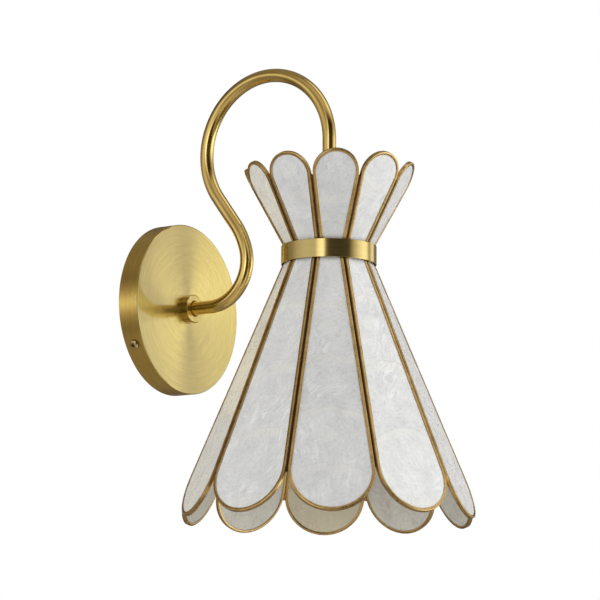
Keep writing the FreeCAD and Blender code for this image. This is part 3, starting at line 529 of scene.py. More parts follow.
def turned(name, prof, origin, e1, e2, e3, mats, nodes, body="root", segs=96, closed=True, sharp=38.0, radius=None, pick=None):
    """A turned form.  prof holds (radius, height); a point at radius 0 is on the axis."""
    verts, faces, ring, fmat = [], [], [], []
    rows = []
    s = 0.0
    for k, (r, h) in enumerate(prof):
        if k:
            s += (Vector(prof[k]) - Vector(prof[k - 1])).length
        if abs(r) < 1e-9:
            verts.append(origin + e3 * h)
            ring.append((s * MM, 0.0, 0.0))
            rows.append([len(verts) - 1])
            continue
        row = []
        for j in range(segs):
            q = 2 * math.pi * j / segs
            rr, hh = (r, h) if radius is None else radius(r, h, q)
            verts.append(origin + e1 * (rr * math.cos(q)) + e2 * (rr * math.sin(q)) + e3 * hh)
            ring.append((s * MM, math.cos(q), math.sin(q)))
            row.append(len(verts) - 1)
        rows.append(row)
    n = len(rows)
    for k in range(n if closed else n - 1):
        a, b = rows[k], rows[(k + 1) % n]
        mi = pick(prof[k], prof[(k + 1) % n]) if pick else 0
        if len(a) == 1 and len(b) == 1:
            continue
        for j in range(segs):
            i = (j + 1) % segs
            if len(a) == 1:
                faces.append((a[0], b[j], b[i]))
            elif len(b) == 1:
                faces.append((a[j], a[i], b[0]))
            else:
                faces.append((a[j], a[i], b[i], b[j]))
            fmat.append(mi)
    return finish_mesh(name, verts, faces, mats, nodes, body, sharp, {"ring": ("FLOAT_VECTOR", ring)}, fmat)


def wobble(x, y, z):
    return noise.noise(Vector((x, y, z)))


# ================================================================ wall cup and what it holds
cup = fillet([(60.0, 0.0), (60.0, -15.5), (4.85, -15.5), (4.85, -14.3), (58.8, -14.3), (58.8, 0.0)],
             [0.22, 0.8, 0.25, 0.15, 0.9, 0.22], 6)
turned("wall_cup", refine(cup, 2.5), Vector((0, 0, 0)), X3, Z3, Y3, [M_CUP], ["canopy"], segs=256)

ANG = math.radians(31.1)
U1 = Vector((math.cos(ANG), 0, math.sin(ANG)))       # along the strap
U3 = Vector((-math.sin(ANG), 0, math.cos(ANG)))      # across the strap


def cut(ob_mesh, cutters, name):
    """ob_mesh with each cutter taken away.  Both are meshes in mm."""
    a = bpy.data.objects.new("cut_a", ob_mesh)
    scene.collection.objects.link(a)
    tools = []
    for k, c in enumerate(cutters):
        b = bpy.data.objects.new("cut_b%d" % k, c)
        scene.collection.objects.link(b)
        md = a.modifiers.new("b%d" % k, "BOOLEAN")
        md.operation, md.solver, md.object = "DIFFERENCE", "EXACT", b
        tools.append(b)
    dg = bpy.context.evaluated_depsgraph_get()
    me = bpy.data.meshes.new_from_object(a.evaluated_get(dg))
    me.name = name
    for o in [a, *tools]:
        data = o.data
        bpy.data.objects.remove(o)
        bpy.data.meshes.remove(data)
    return me


def raw_mesh(verts, faces):
    me = bpy.data.meshes.new("raw")
    me.from_pydata([tuple(v) for v in verts], [], faces)
    bm = bmesh.new()
    bm.from_mesh(me)
    bmesh.ops.recalc_face_normals(bm, faces=bm.faces)
    bm.to_mesh(me)
    bm.free()
    return me


def prism(loop, lo, hi, top=1.0):
    """A prism over a flat loop of (x, y), from z = lo to hi, its top scaled."""
    n = len(loop)
    v = [(x, y, lo) for x, y in loop] + [(x * top, y * top, hi) for x, y in loop]
    f = [tuple(range(n - 1, -1, -1)), tuple(range(n, 2 * n))]
    f += [(i, (i + 1) % n, n + (i + 1) % n, n + i) for i in range(n)]
    return raw_mesh(v, f)


def solid_of_turn(prof, segs=48):
    verts, faces, rows = [], [], []
    for r, h in prof:
        if r < 1e-9:
            verts.append((0, 0, h))
            rows.append([len(verts) - 1])
        else:
            rows.append([len(verts) + j for j in range(segs)])
            verts += [(r * math.cos(2 * math.pi * j / segs), r * math.sin(2 * math.pi * j / segs), h) for j in range(segs)]
    for a, b in zip(rows, rows[1:]):
        for j in range(segs):
            i = (j + 1) % segs
            if len(a) == 1:
                faces.append((a[0], b[j], b[i]))
            elif len(b) == 1:
                faces.append((a[j], a[i], b[0]))
            else:
                faces.append((a[j], a[i], b[i], b[j]))
    return raw_mesh(verts, faces)


def threaded_profile(r, z0, z1, pitch, depth):
    """Ring grooves that read as a thread."""
    out = []
    n = max(1, int(abs(z1 - z0) / pitch))
    step = (z1 - z0) / n
    for k in range(n):
        out += [(r, z0 + step * (k + 0.10)), (r - depth, z0 + step * (k + 0.42)), (r - depth, z0 + step * (k + 0.58)),
                (r, z0 + step * (k + 0.90))]
    return out


def pan_screw(head_r, head_t, shank_r, length, wide, deep):
    dome = [(0.0, head_t), (head_r * 0.30, head_t * 0.995), (head_r * 0.56, head_t * 0.97), (head_r * 0.72, head_t * 0.92), (head_r * 0.83, head_t * 0.82),
            (head_r * 0.92, head_t * 0.65), (head_r * 0.98, head_t * 0.42), (head_r, head_t * 0.22), (head_r, head_t * 0.06),
            (head_r * 0.97, 0.0), (shank_r * 1.02, 0.0)]
    dome += threaded_profile(shank_r, -0.25, -(length - 0.5), 0.7, 0.22)
    dome += [(shank_r * 0.72, -length), (0.0, -length)]
    body = solid_of_turn(dome)
    a, c = head_r * 0.46, wide / 2
    cutters = []
    for quarter in (0, 1):
        loop = [(-a, -c), (a, -c), (a, c), (-a, c)]
        if quarter:
            loop = [(y, x) for x, y in reversed(loop)]
        k = 0.70
        n = len(loop)
        top = [(x, y, head_t + 0.4) for x, y in loop]
        bot = [(x * k, y * k, head_t - deep) for x, y in loop]
        v = bot + top
        f = [tuple(range(n - 1, -1, -1)), tuple(range(n, 2 * n))] + [(i, (i + 1) % n, n + (i + 1) % n, n + i) for i in range(n)]
        cutters.append(raw_mesh(v, f))
    out = cut(body, cutters, "screw")
    for q in out.polygons:
        c3 = q.center
        r3 = math.hypot(c3.x, c3.y)
        # painted shade: the cross recess and the underside of the head's rim take the dark recess colour
        if r3 < head_r * 0.62 and head_t - deep - 0.1 < c3.z < head_t * 0.90:
            q.material_index = 1
        elif r3 > head_r * 0.93 and 0.0 < c3.z < head_t * 0.40:      # painted shade under the head's rim
            q.material_index = 1
    return out


def at(me, origin, e1, e2, e3):
    """Moves a mesh in mm to its place in metres."""
    mt = Matrix((
        (e1.x, e2.x, e3.x, origin.x), (e1.y, e2.y, e3.y, origin.y), (e1.z, e2.z, e3.z, origin.z), (0, 0, 0, 1)))
    me.transform(Matrix.Scale(MM, 4) @ mt)
    return me


def joined(name, meshes, mats):
    bm = bmesh.new()
    for me in meshes:
        bm.from_mesh(me)
    for me in meshes:
        bpy.data.meshes.remove(me)
    bmesh.ops.recalc_face_normals(bm, faces=bm.faces)
    out = bpy.data.meshes.new(name)
    bm.to_mesh(out)
    bm.free()
    for mt in mats:
        out.materials.append(mt)
    return out


pair = []
for sgn in (-1, 1):
    d = U1 * sgn
    side = d.cross(Y3)
    tilt = math.radians(24 if sgn < 0 else 57)
    a1 = Y3 * math.cos(tilt) + side * math.sin(tilt)
    a2 = d.cross(a1)
    pair.append(at(pan_screw(3.6, 2.2, 1.95, 7.0, 1.00, 1.20), d * 60.0 + Vector((0, -7.75, 0)), a1, a2, d))
dress("rim_screw_pair", joined("rim_screw_pair", pair, [M_SCREW, M_RECESS_SHADE]), ["canopy_screws"], sharp=32)
earth = at(pan_screw(3.6, 2.0, 1.6, 1.5, 1.15, 1.40), U1 * 19.0 + Vector((0, -1.5, 0)), U1, Y3.cross(U1) * 1.0, -Y3)
dress("earth_screw", joined("earth_screw", [earth], [M_EARTH, M_RECESS_SHADE]), ["ground_screw"], sharp=32)


# strap: one bent strip, its ears turned forward with a real bend, holes cut through
def strap_mesh():
    L, T = 58.3, 1.5
    rin, rout = 1.0, 2.5
    path = []                        # (x, y, normal of the strip towards the wall side, width)

    def wide(s):                     # s: distance from the strap's middle along x
        s = abs(s)
        return 10.0 if s >= L else (20.0 if s <= L - 7 else 20.0 - 10.0 * (s - (L - 7)) / 7)

    c = (rin + rout) / 2
    pts = []
    # centre line from the left ear's tip to the right ear's tip
    pts.append((-L + T / 2, -12.0, -1.0, 0.0))
    pts.append((-L + T / 2, -11.2, -1.0, 0.0))
    for k in range(1, 5):
        pts.append((-L + T / 2, -11.2 + (11.2 - rout) * k / 4, -1.0, 0.0))
    for k in range(1, 7):
        q = math.pi / 2 * k / 6
        pts.append((-L + rout - c * math.cos(q), -rout + c * math.sin(q), -math.cos(q), math.sin(q)))
    for k in range(1, 24):
        x = (-L + rout) + (2 * (L - rout)) * k / 24
        pts.append((x, -T / 2, 0.0, 1.0))
    for k in range(0, 7):
        q = math.pi / 2 * (1 - k / 6)
        pts.append((L - rout + c * math.cos(q), -rout + c * math.sin(q), math.cos(q), math.sin(q)))
    for k in range(1, 5):
        pts.append((L - T / 2, -rout - (11.2 - rout) * k / 4, 1.0, 0.0))
    pts.append((L - T / 2, -12.0, 1.0, 0.0))
    verts, faces = [], []
    e = 0.18
    for x, y, nx, ny in pts:
        w = wide(x) / 2
        if abs(y + 12.0) < 1e-6:
            w -= 1.0
        sec = [(-w + e, T / 2), (w - e, T / 2), (w, T / 2 - e), (w, -T / 2 + e), (w - e, -T / 2), (-w + e, -T / 2), (-w, -T / 2 + e), (-w, T / 2 - e)]
        for a, b in sec:
            verts.append((x + nx * b, y + ny * b, a))
    n, k = len(pts), 8
    for i in range(n - 1):
        for j in range(k):
            a, b = i * k + j, i * k + (j + 1) % k
            faces.append((a, b, b + k, a + k))
    faces.append(tuple(range(k - 1, -1, -1)))
    faces.append(tuple((n - 1) * k + j for j in range(k)))
    body = raw_mesh(verts, faces)
    holes = []

    def drill(x, r, segs=40):
        loop = [(r * math.cos(2 * math.pi * j / segs), r * math.sin(2 * math.pi * j / segs)) for j in range(segs)]
        me = prism(loop, -4.0, 4.0)
        me.transform(Matrix.Translation((x, 0, 0)) @ Matrix.Rotation(math.radians(90), 4, "X"))
        return me

    for x, r in ((34.925, 2.7), (-34.925, 2.7), (19.0, 1.7), (-17.0, 5.5)):
        holes.append(drill(x, r))
    for sx in (-1, 1):
        loop = [(2.0 * math.cos(2 * math.pi * j / 32), 2.0 * math.sin(2 * math.pi * j / 32)) for j in range(32)]
        me = prism(loop, -4.0, 4.0)
        me.transform(Matrix.Translation((sx * (L - T / 2), -7.75, 0)) @ Matrix.Rotation(math.radians(90), 4, "Y"))
        holes.append(me)
    return cut(body, holes, "strap")


me = strap_mesh()
bm = bmesh.new()
bm.from_mesh(me)
bmesh.ops.remove_doubles(bm, verts=bm.verts, dist=1e-4)
bmesh.ops.recalc_face_normals(bm, faces=bm.faces)
bm.to_mesh(me)
bm.free()
# local axes of the strap mesh: x along, y depth, z across
at(me, Vector((0, 0, 0)), U1, Y3, U3)
me.materials.clear()
me.materials.append(M_STEEL)
dress("strap_on_wall", me, ["wall_bracket"], sharp=30)


def nut_mesh(flats, bore, high):
    """Hexagon nut with the arcs its turned chamfers leave on the flats."""
    segs, h = 96, high
    r0 = flats / 2 * 0.965
    rows = []

    def hexr(q):
        k = (q % (math.pi / 3)) - math.pi / 6
        return flats / 2 / math.cos(k)

    def row(fr, fz):
        rows.append([(fr(q) * math.cos(q), fr(q) * math.sin(q), fz(q)) for q in (2 * math.pi * j / segs for j in range(segs))])

    t30 = math.tan(math.radians(30))
    drop = lambda q: max(0.0, hexr(q) - r0) * t30
    row(lambda q: bore, lambda q: 0.45)
    row(lambda q: bore, lambda q: h / 2)
    row(lambda q: bore, lambda q: h - 0.45)
    row(lambda q: bore + 0.42, lambda q: h)
    row(lambda q: bore + 0.9, lambda q: h)
    row(lambda q: r0 - 0.05, lambda q: h)
    row(lambda q: r0 + (hexr(q) - r0) * 0.5, lambda q: h - drop(q) * 0.5)
    row(lambda q: hexr(q) - 0.05, lambda q: h - drop(q) + 0.015)
    row(hexr, lambda q: h - drop(q) - 0.05)
    row(hexr, lambda q: h / 2)
    row(hexr, lambda q: drop(q) + 0.05)
    row(lambda q: hexr(q) - 0.05, lambda q: drop(q) - 0.015)
    row(lambda q: r0 + (hexr(q) - r0) * 0.5, lambda q: drop(q) * 0.5)
    row(lambda q: r0 - 0.05, lambda q: 0.0)
    row(lambda q: bore + 0.9, lambda q: 0.0)
    row(lambda q: bore + 0.42, lambda q: 0.0)
    verts = [v for r in rows for v in r]
    n = len(rows)
    faces = []
    for k in range(n):
        for j in range(segs):
            a, b = k * segs + j, k * segs + (j + 1) % segs
            c, d = ((k + 1) % n) * segs + (j + 1) % segs, ((k + 1) % n) * segs + j
            faces.append((a, b, c, d))
    return raw_mesh(verts, faces)


def put_nut(name, node, origin, e1, e2, e3, mat=M_INNER):
    me = at(nut_mesh(14.0, 4.78, 3.5), origin, e1, e2, e3)
    me.materials.append(mat)
    dress(name, me, [node], sharp=24)


put_nut("nut_in_cup", "arm_nut", Vector((0, -13.3, 0)), X3, -Z3, Y3)
put_nut("nut_over_spider", "hub_nut_upper", AX + Z3 * 27.3, X3, Y3, Z3)
c20, s20 = math.cos(math.radians(20)), math.sin(math.radians(20))
put_nut("nut_under_spider", "hub_nut_lower", AX + Z3 * 22.2, Vector((c20, s20, 0)), Vector((-s20, c20, 0)), Z3)


# toothed lock washer: twelve twisted teeth
def washer_mesh():
    n = 12
    verts, faces = [], []
    segs = n * 8
    t = 1.0
    rings = [4.78, 5.2, 6.2, 6.9, 8.2]
    def h(r, q, top):
        k = (q * n / (2 * math.pi)) % 1.0
        gap = k < 0.12 or k > 0.88
        rr = min(r, 6.9) if gap else r
        twist = 0.0 if rr <= 6.2 else (k - 0.5) * 0.55 * (rr - 6.2) / 2.0
        base = t * 0.5 + (0.25 if top else -0.25)
        return rr, base + twist
    for top in (False, True):
        for r in rings:
            for j in range(segs):
                q = 2 * math.pi * j / segs
                rr, z = h(r, q, top)
                verts.append((rr * math.cos(q), rr * math.sin(q), z))
    nr = len(rings)
    def vid(top, k, j):
        return (nr if top else 0) * segs + k * segs + j % segs
    for k in range(nr - 1):
        for j in range(segs):
            faces.append((vid(1, k, j), vid(1, k, j + 1), vid(1, k + 1, j + 1), vid(1, k + 1, j)))
            faces.append((vid(0, k, j), vid(0, k + 1, j), vid(0, k + 1, j + 1), vid(0, k, j + 1)))
    for j in range(segs):
        faces.append((vid(0, 0, j), vid(0, 0, j + 1), vid(1, 0, j + 1), vid(1, 0, j)))
        faces.append((vid(0, nr - 1, j), vid(1, nr - 1, j), vid(1, nr - 1, j + 1), vid(0, nr - 1, j + 1)))
    me = raw_mesh(verts, faces)
    bm = bmesh.new()
    bm.from_mesh(me)
    bmesh.ops.remove_doubles(bm, verts=bm.verts, dist=1e-5)
    bmesh.ops.recalc_face_normals(bm, faces=bm.faces)
    bm.to_mesh(me)
    bm.free()
    return me


me = at(washer_mesh(), Vector((0, -14.3, 0)), X3, -Z3, Y3)
me.materials.append(M_STEEL)
dress("toothed_washer", me, ["arm_lock_washer"], sharp=30)

# collar: turned ring with softened lips and a small countersink round the tube
ring_prof = fillet([(4.80, -15.5), (9.7, -15.5), (10.0, -15.9), (10.0, -21.0), (9.4, -21.6), (5.9, -21.6), (5.2, -20.9), (4.80, -20.5)],
                   [0.05, 0.15, 0.15, 0.30, 0.35, 0.2, 0.2, 0.1], 4)
turned("collar_ring", refine(ring_prof, 0.6), Vector((0, 0, 0)), X3, Z3, Y3, [M_COLLAR], ["arm_collar"], segs=128)


# ================================================================ arm
def arm():
    b1, b2 = math.radians(105.83), math.radians(20.46)
    A = b1 + b2
    p = [(-8.2, 0.0), (-35.03, 0.0)]
    r1, r2 = 30.41, 56.63
    c1 = (-35.03, r1)
    p2 = (c1[0] - math.sin(b1) * r1, c1[1] - math.cos(b1) * r1)
    c2 = (p2[0] + math.sin(b1) * r2, p2[1] + math.cos(b1) * r2)
    p3 = (c2[0] - math.sin(A) * r2, c2[1] - math.cos(A) * r2)
    p4 = (p3[0] - math.cos(A) * 25.67, p3[1] + math.sin(A) * 25.67)
    r3 = (p4[0] + 133.73) / (1 + math.sin(A))
    c3 = (p4[0] - math.sin(A) * r3, p4[1] - math.cos(A) * r3)
    p5 = (c3[0] - r3, c3[1])
    rows = []                                   # (y, z, heading, s)
    s = 0.0

    def line(a, b, head, steps):
        nonlocal s
        L = math.dist(a, b)
        for k in range(steps):
            t = k / steps
            rows.append((a[0] + (b[0] - a[0]) * t, a[1] + (b[1] - a[1]) * t, head, s + L * t))
        s += L

    def arc(c, r, h0, h1, steps, side):
        # side +1: heading grows, -1: heading falls
        nonlocal s
        L = abs(h1 - h0) * r
        for k in range(steps):
            h = h0 + (h1 - h0) * k / steps
            rows.append((c[0] - side * r * math.sin(h), c[1] - side * r * math.cos(h), h, s + L * k / steps))
        s += L

    line((-8.2, 0.0), (-15.6, 0.0), 0.0, 56)
    line((-15.6, 0.0), p[1], 0.0, 12)
    arc(c1, r1, 0.0, b1, 64, +1)
    # c2 lies along the same normal line, the bend goes on the same way
    arc(c2, r2, b1, A, 24, +1)
    line(p3, p4, A, 14)
    arc(c3, r3, A, -math.pi / 2, 150, -1)
    line(p5, (p5[0], 33.0), -math.pi / 2, 40)
    line((p5[0], 33.0), (p5[0], 13.5), -math.pi / 2, 146)
    rows.append((p5[0], 13.5, -math.pi / 2, s))
    total = s
    segs = 64
    verts, faces, ring = [], [], []

    def thread(sd, q):
        # cut threads at both ends: in the cup and through the spider
        out = 0.0
        for a, b in ((0.0, 7.3), (total - 18.6, total)):
            if a <= sd <= b:
                fade = min(1.0, (b - sd) / 1.0 if a == 0.0 else (sd - a) / 1.0)
                k = ((sd + q / (2 * math.pi) * 0.94) / 0.94) % 1.0
                out = 0.34 * max(0.0, fade) * (1 - abs(2 * k - 1)) ** 0.8
        return out

    def loop(y, z, h, sd, r, cutting):
        nrm = Vector((0, math.sin(h), math.cos(h)))
        base = len(verts)
        for j in range(segs):
            q = 2 * math.pi * j / segs
            rr = r - (thread(sd, q) if cutting else 0.0)
            verts.append(Vector((0, y, z)) + X3 * (rr * math.cos(q)) + nrm * (rr * math.sin(q)))
            ring.append((sd * MM, math.cos(q), math.sin(q)))
        return list(range(base, base + segs))

    outer = [loop(y, z, h, sd, 4.7, True) for y, z, h, sd in rows]
    inner = [loop(y, z, h, sd, 3.8, False) for k, (y, z, h, sd) in enumerate(rows) if k % 4 == 0 or k == len(rows) - 1]
    # the tube's wall, closed by flat rings at both mouths
    chain = outer + list(reversed(inner))
    for a, b in zip(chain, chain[1:] + chain[:1]):
        for j in range(segs):
            i = (j + 1) % segs
            faces.append((a[j], a[i], b[i], b[j]))
    return finish_mesh("swept_arm", verts, faces, [M_ARM], ["arm_tube"], sharp=50, attrs={"ring": ("FLOAT_VECTOR", ring)}, even=False)


arm()

# ================================================================ waist: band and spider
band = fillet([(32.0, 20.2), (32.6, 20.2), (32.6, 32.9), (32.0, 32.9)], [0.12, 0.24, 0.24, 0.12], 4)
turned("waist_ring", refine(band, 0.8), AX, X3, Y3, Z3, [M_BAND], ["waist_band"], segs=256)


def plate_curve(name, loops, thick, soft):
    """A flat plate from closed outlines (the later ones are holes), with softened edges.  mm."""
    cu = bpy.data.curves.new(name, "CURVE")
    cu.dimensions = "2D"
    cu.fill_mode = "BOTH"
    cu.extrude = thick / 2 - soft
    cu.bevel_depth = soft
    cu.offset = -soft
    cu.bevel_resolution = 2
    for lp in loops:
        sp = cu.splines.new("POLY")
        sp.points.add(len(lp) - 1)
        for k, (x, y) in enumerate(lp):
            sp.points[k].co = (x, y, 0, 1)
        sp.use_cyclic_u = True
    ob = bpy.data.objects.new(name, cu)
    scene.collection.objects.link(ob)
    dg = bpy.context.evaluated_depsgraph_get()
    me = bpy.data.meshes.new_from_object(ob.evaluated_get(dg))
    bpy.data.objects.remove(ob)
    bpy.data.curves.remove(cu)
    bm = bmesh.new()
    bm.from_mesh(me)
    bmesh.ops.remove_doubles(bm, verts=bm.verts, dist=1e-4)
    bmesh.ops.recalc_face_normals(bm, faces=bm.faces)
    bm.to_mesh(me)
    bm.free()
    return me


def circle_pts(r, n):
    return [(r * math.cos(2 * math.pi * j / n), r * math.sin(2 * math.pi * j / n)) for j in range(n)]


loops = [circle_pts(31.97, 160), list(reversed(circle_pts(4.75, 48)))]
for k in range(5):
    a0, a1 = math.radians(72 * k), math.radians(72 * (k + 1))
    ri, ro, hw = 9.5, 22.0, 2.5
    lo_i, hi_i = a0 + math.asin(hw / ri), a1 - math.asin(hw / ri)
    lo_o, hi_o = a0 + math.asin(hw / ro), a1 - math.asin(hw / ro)
    pts = [(ri * math.cos(lo_i + (hi_i - lo_i) * j / 10), ri * math.sin(lo_i + (hi_i - lo_i) * j / 10)) for j in range(11)]
    pts += [(ro * math.cos(hi_o + (lo_o - hi_o) * j / 24), ro * math.sin(hi_o + (lo_o - hi_o) * j / 24)) for j in range(25)]
    rad = [0.0] * len(pts)
    rad[0] = rad[10] = 0.7
    rad[11] = rad[-1] = 1.6
    # round the four corners of each window
    loops.append(list(reversed(fillet(pts, rad, 5))))
me = plate_curve("spider", loops, 1.6, 0.22)
turn = math.radians(-55.27 - 90.0)
at(me, AX + Z3 * 26.5, Vector((math.cos(turn), math.sin(turn), 0)), Vector((-math.sin(turn), math.cos(turn), 0)), Z3)
me.materials.clear()
me.materials.append(M_INNER)
dress("spider_wheel", me, ["shade_spider"], sharp=40)

# ================================================================ petals
TAN = math.tan(math.pi / 10)
KINDS = {
    "lower": dict(face=28.02, lean=0.399, gap=1.11, tip=-154.85, turn=-55.27, start=0.90, up=-1,
                  more=[1.3, -0.4, -0.6, 0.6, 0.0, -0.1, 0.2, -0.2, -1.6, 0.4]),
    "upper": dict(face=26.83, lean=0.523, gap=1.19, tip=88.33, turn=-51.68, start=0.95, up=1,
                  more=[0.1, 0.9, 0.1, 0.3, -0.4, 0.2, -0.2, 0.4, -1.9, -0.5]),
}
# painted shade: how strongly each petal's outer face is tinted darker and warmer by the way it faces, 0 none to 1 full
OUTER_SHADE_TINT = {"lower": [0.0, 0.0, 0.0, 0.1, 0.2, 0.2, 0.3, 0.36, 0.38, 0.05],
        "upper": [0.0, 0.0, 0.0, 0.1, 0.2, 0.2, 0.3, 0.36, 0.35, 0.02]}


# painted shade: the same darker, warmer tint on each petal's inner face
INNER_SHADE_TINT = [0.8, 0.7, 0.6, 0.42, 0.42, 1.0, 0.48, 0.52, 0.7, 0.8]


class Petal:
    def __init__(self, kind, i):
        c = KINDS[kind]
        self.kind, self.i, self.c = kind, i, c
        self.tilt = math.atan(c["lean"])
        self.sin, self.cos = math.sin(self.tilt), math.cos(self.tilt)
        tb = TAN * self.sin
        self.tb, self.slope = tb, math.atan(tb)
        tipv = abs(c["tip"] - 26.5) / self.cos + c["more"][i]
        half = (c["face"] + tipv * self.sin) * TAN - c["gap"]
        self.R = math.cos(self.slope) * half / (1 + math.sin(self.slope))
        self.cen = tipv - self.R
        az = math.radians(c["turn"] + 36.0 * i)
        self.az = az
        self.o = Vector((math.sin(az), -math.cos(az), 0))
        self.t = Z3.cross(self.o)
        up = c["up"]
        self.sv = self.o * self.sin + Z3 * (up * self.cos)
        self.n = self.o * self.cos - Z3 * (up * self.sin)
        self.x = self.t * up
        self.org = AX + Z3 * 26.5 + self.o * c["face"]

    def world(self, x, y, z):
        return self.org + self.x * x + self.sv * y + self.n * z

    def corner(self, inset):
        c = self.c
        return (c["face"] + c["start"] * self.sin) * TAN - c["gap"] + self.tb * inset - inset / math.cos(self.slope)

    def outline(self, inset, n_side=26, n_arc=56, n_start=6):
        """Points (x, y, tag): tag 0 start edge, 1 right side, 2 round end, 3 left side; with t along each."""
        c = self.c
        a = self.corner(inset)
        y0 = c["start"] + inset
        r = self.R - inset
        tx, ty = r * math.cos(self.slope), self.cen - r * math.sin(self.slope)
        pts = []
        for k in range(n_start):
            t = k / n_start
            pts.append((-a + 2 * a * t, y0, 0, t))
        for k in range(n_side):
            t = k / n_side
            pts.append((a + (tx - a) * t, y0 + (ty - y0) * t, 1, t))
        q0, q1 = -self.slope, math.pi + self.slope
        for k in range(n_arc):
            t = k / n_arc
            q = q0 + (q1 - q0) * t
            pts.append((r * math.cos(q), self.cen + r * math.sin(q), 2, t))
        for k in range(n_side):
            t = k / n_side
            pts.append((-tx + (tx - a) * t, ty + (y0 - ty) * t, 3, t))
        return pts

    def width(self, y, inset):
        """Half width of the outline at height y, moved in by inset."""
        r = self.R - inset
        ty = self.cen - r * math.sin(self.slope)
        if y <= ty:
            return self.corner(inset) + (y - self.c["start"] - inset) * self.tb
        d = y - self.cen
        return math.sqrt(max(0.0, r * r - d * d))


def channel():
    """The frame's section: distance in from the outer side, and height (0 is the outer face)."""
    base = [(0.0, -3.0), (0.0, 0.0), (2.15, 0.0), (2.15, -0.5), (0.7, -0.5), (0.7, -2.5), (2.15, -2.5), (2.15, -3.0)]
    rad = [0.42, 0.42, 0.24, 0.10, 0.0, 0.0, 0.10, 0.24]
    sec = refine(fillet(base, rad, 4), 0.45)
    out = []
    for d, z in sec:                           # both faces are crowned
        if z > -0.42:
            z -= 0.28 * ((d - 1.05) / 1.1) ** 2 * (1 + z / 0.42)
        elif z < -2.58:
            z += 0.28 * ((d - 1.05) / 1.1) ** 2 * (1 - (3.0 + z) / 0.42)
        out.append((d, min(0.0, max(-3.0, z))))
    return out


SECTION = channel()
NOTCH = {3: 5.5, 4: 6.5, 5: 6.5, 6: 5.5, 9: 4.5}    # mm the dark seam (solder, and painted shade) runs on into the notch between two round ends
SEAM_TOP = {"lower": 1.30, "upper": 0.30}   # how deep the dark seam (solder, and painted shade) lies between two frames


SEAM_EDGE = {"lower": 0.55, "upper": 1.0}   # how far it has run up their sides


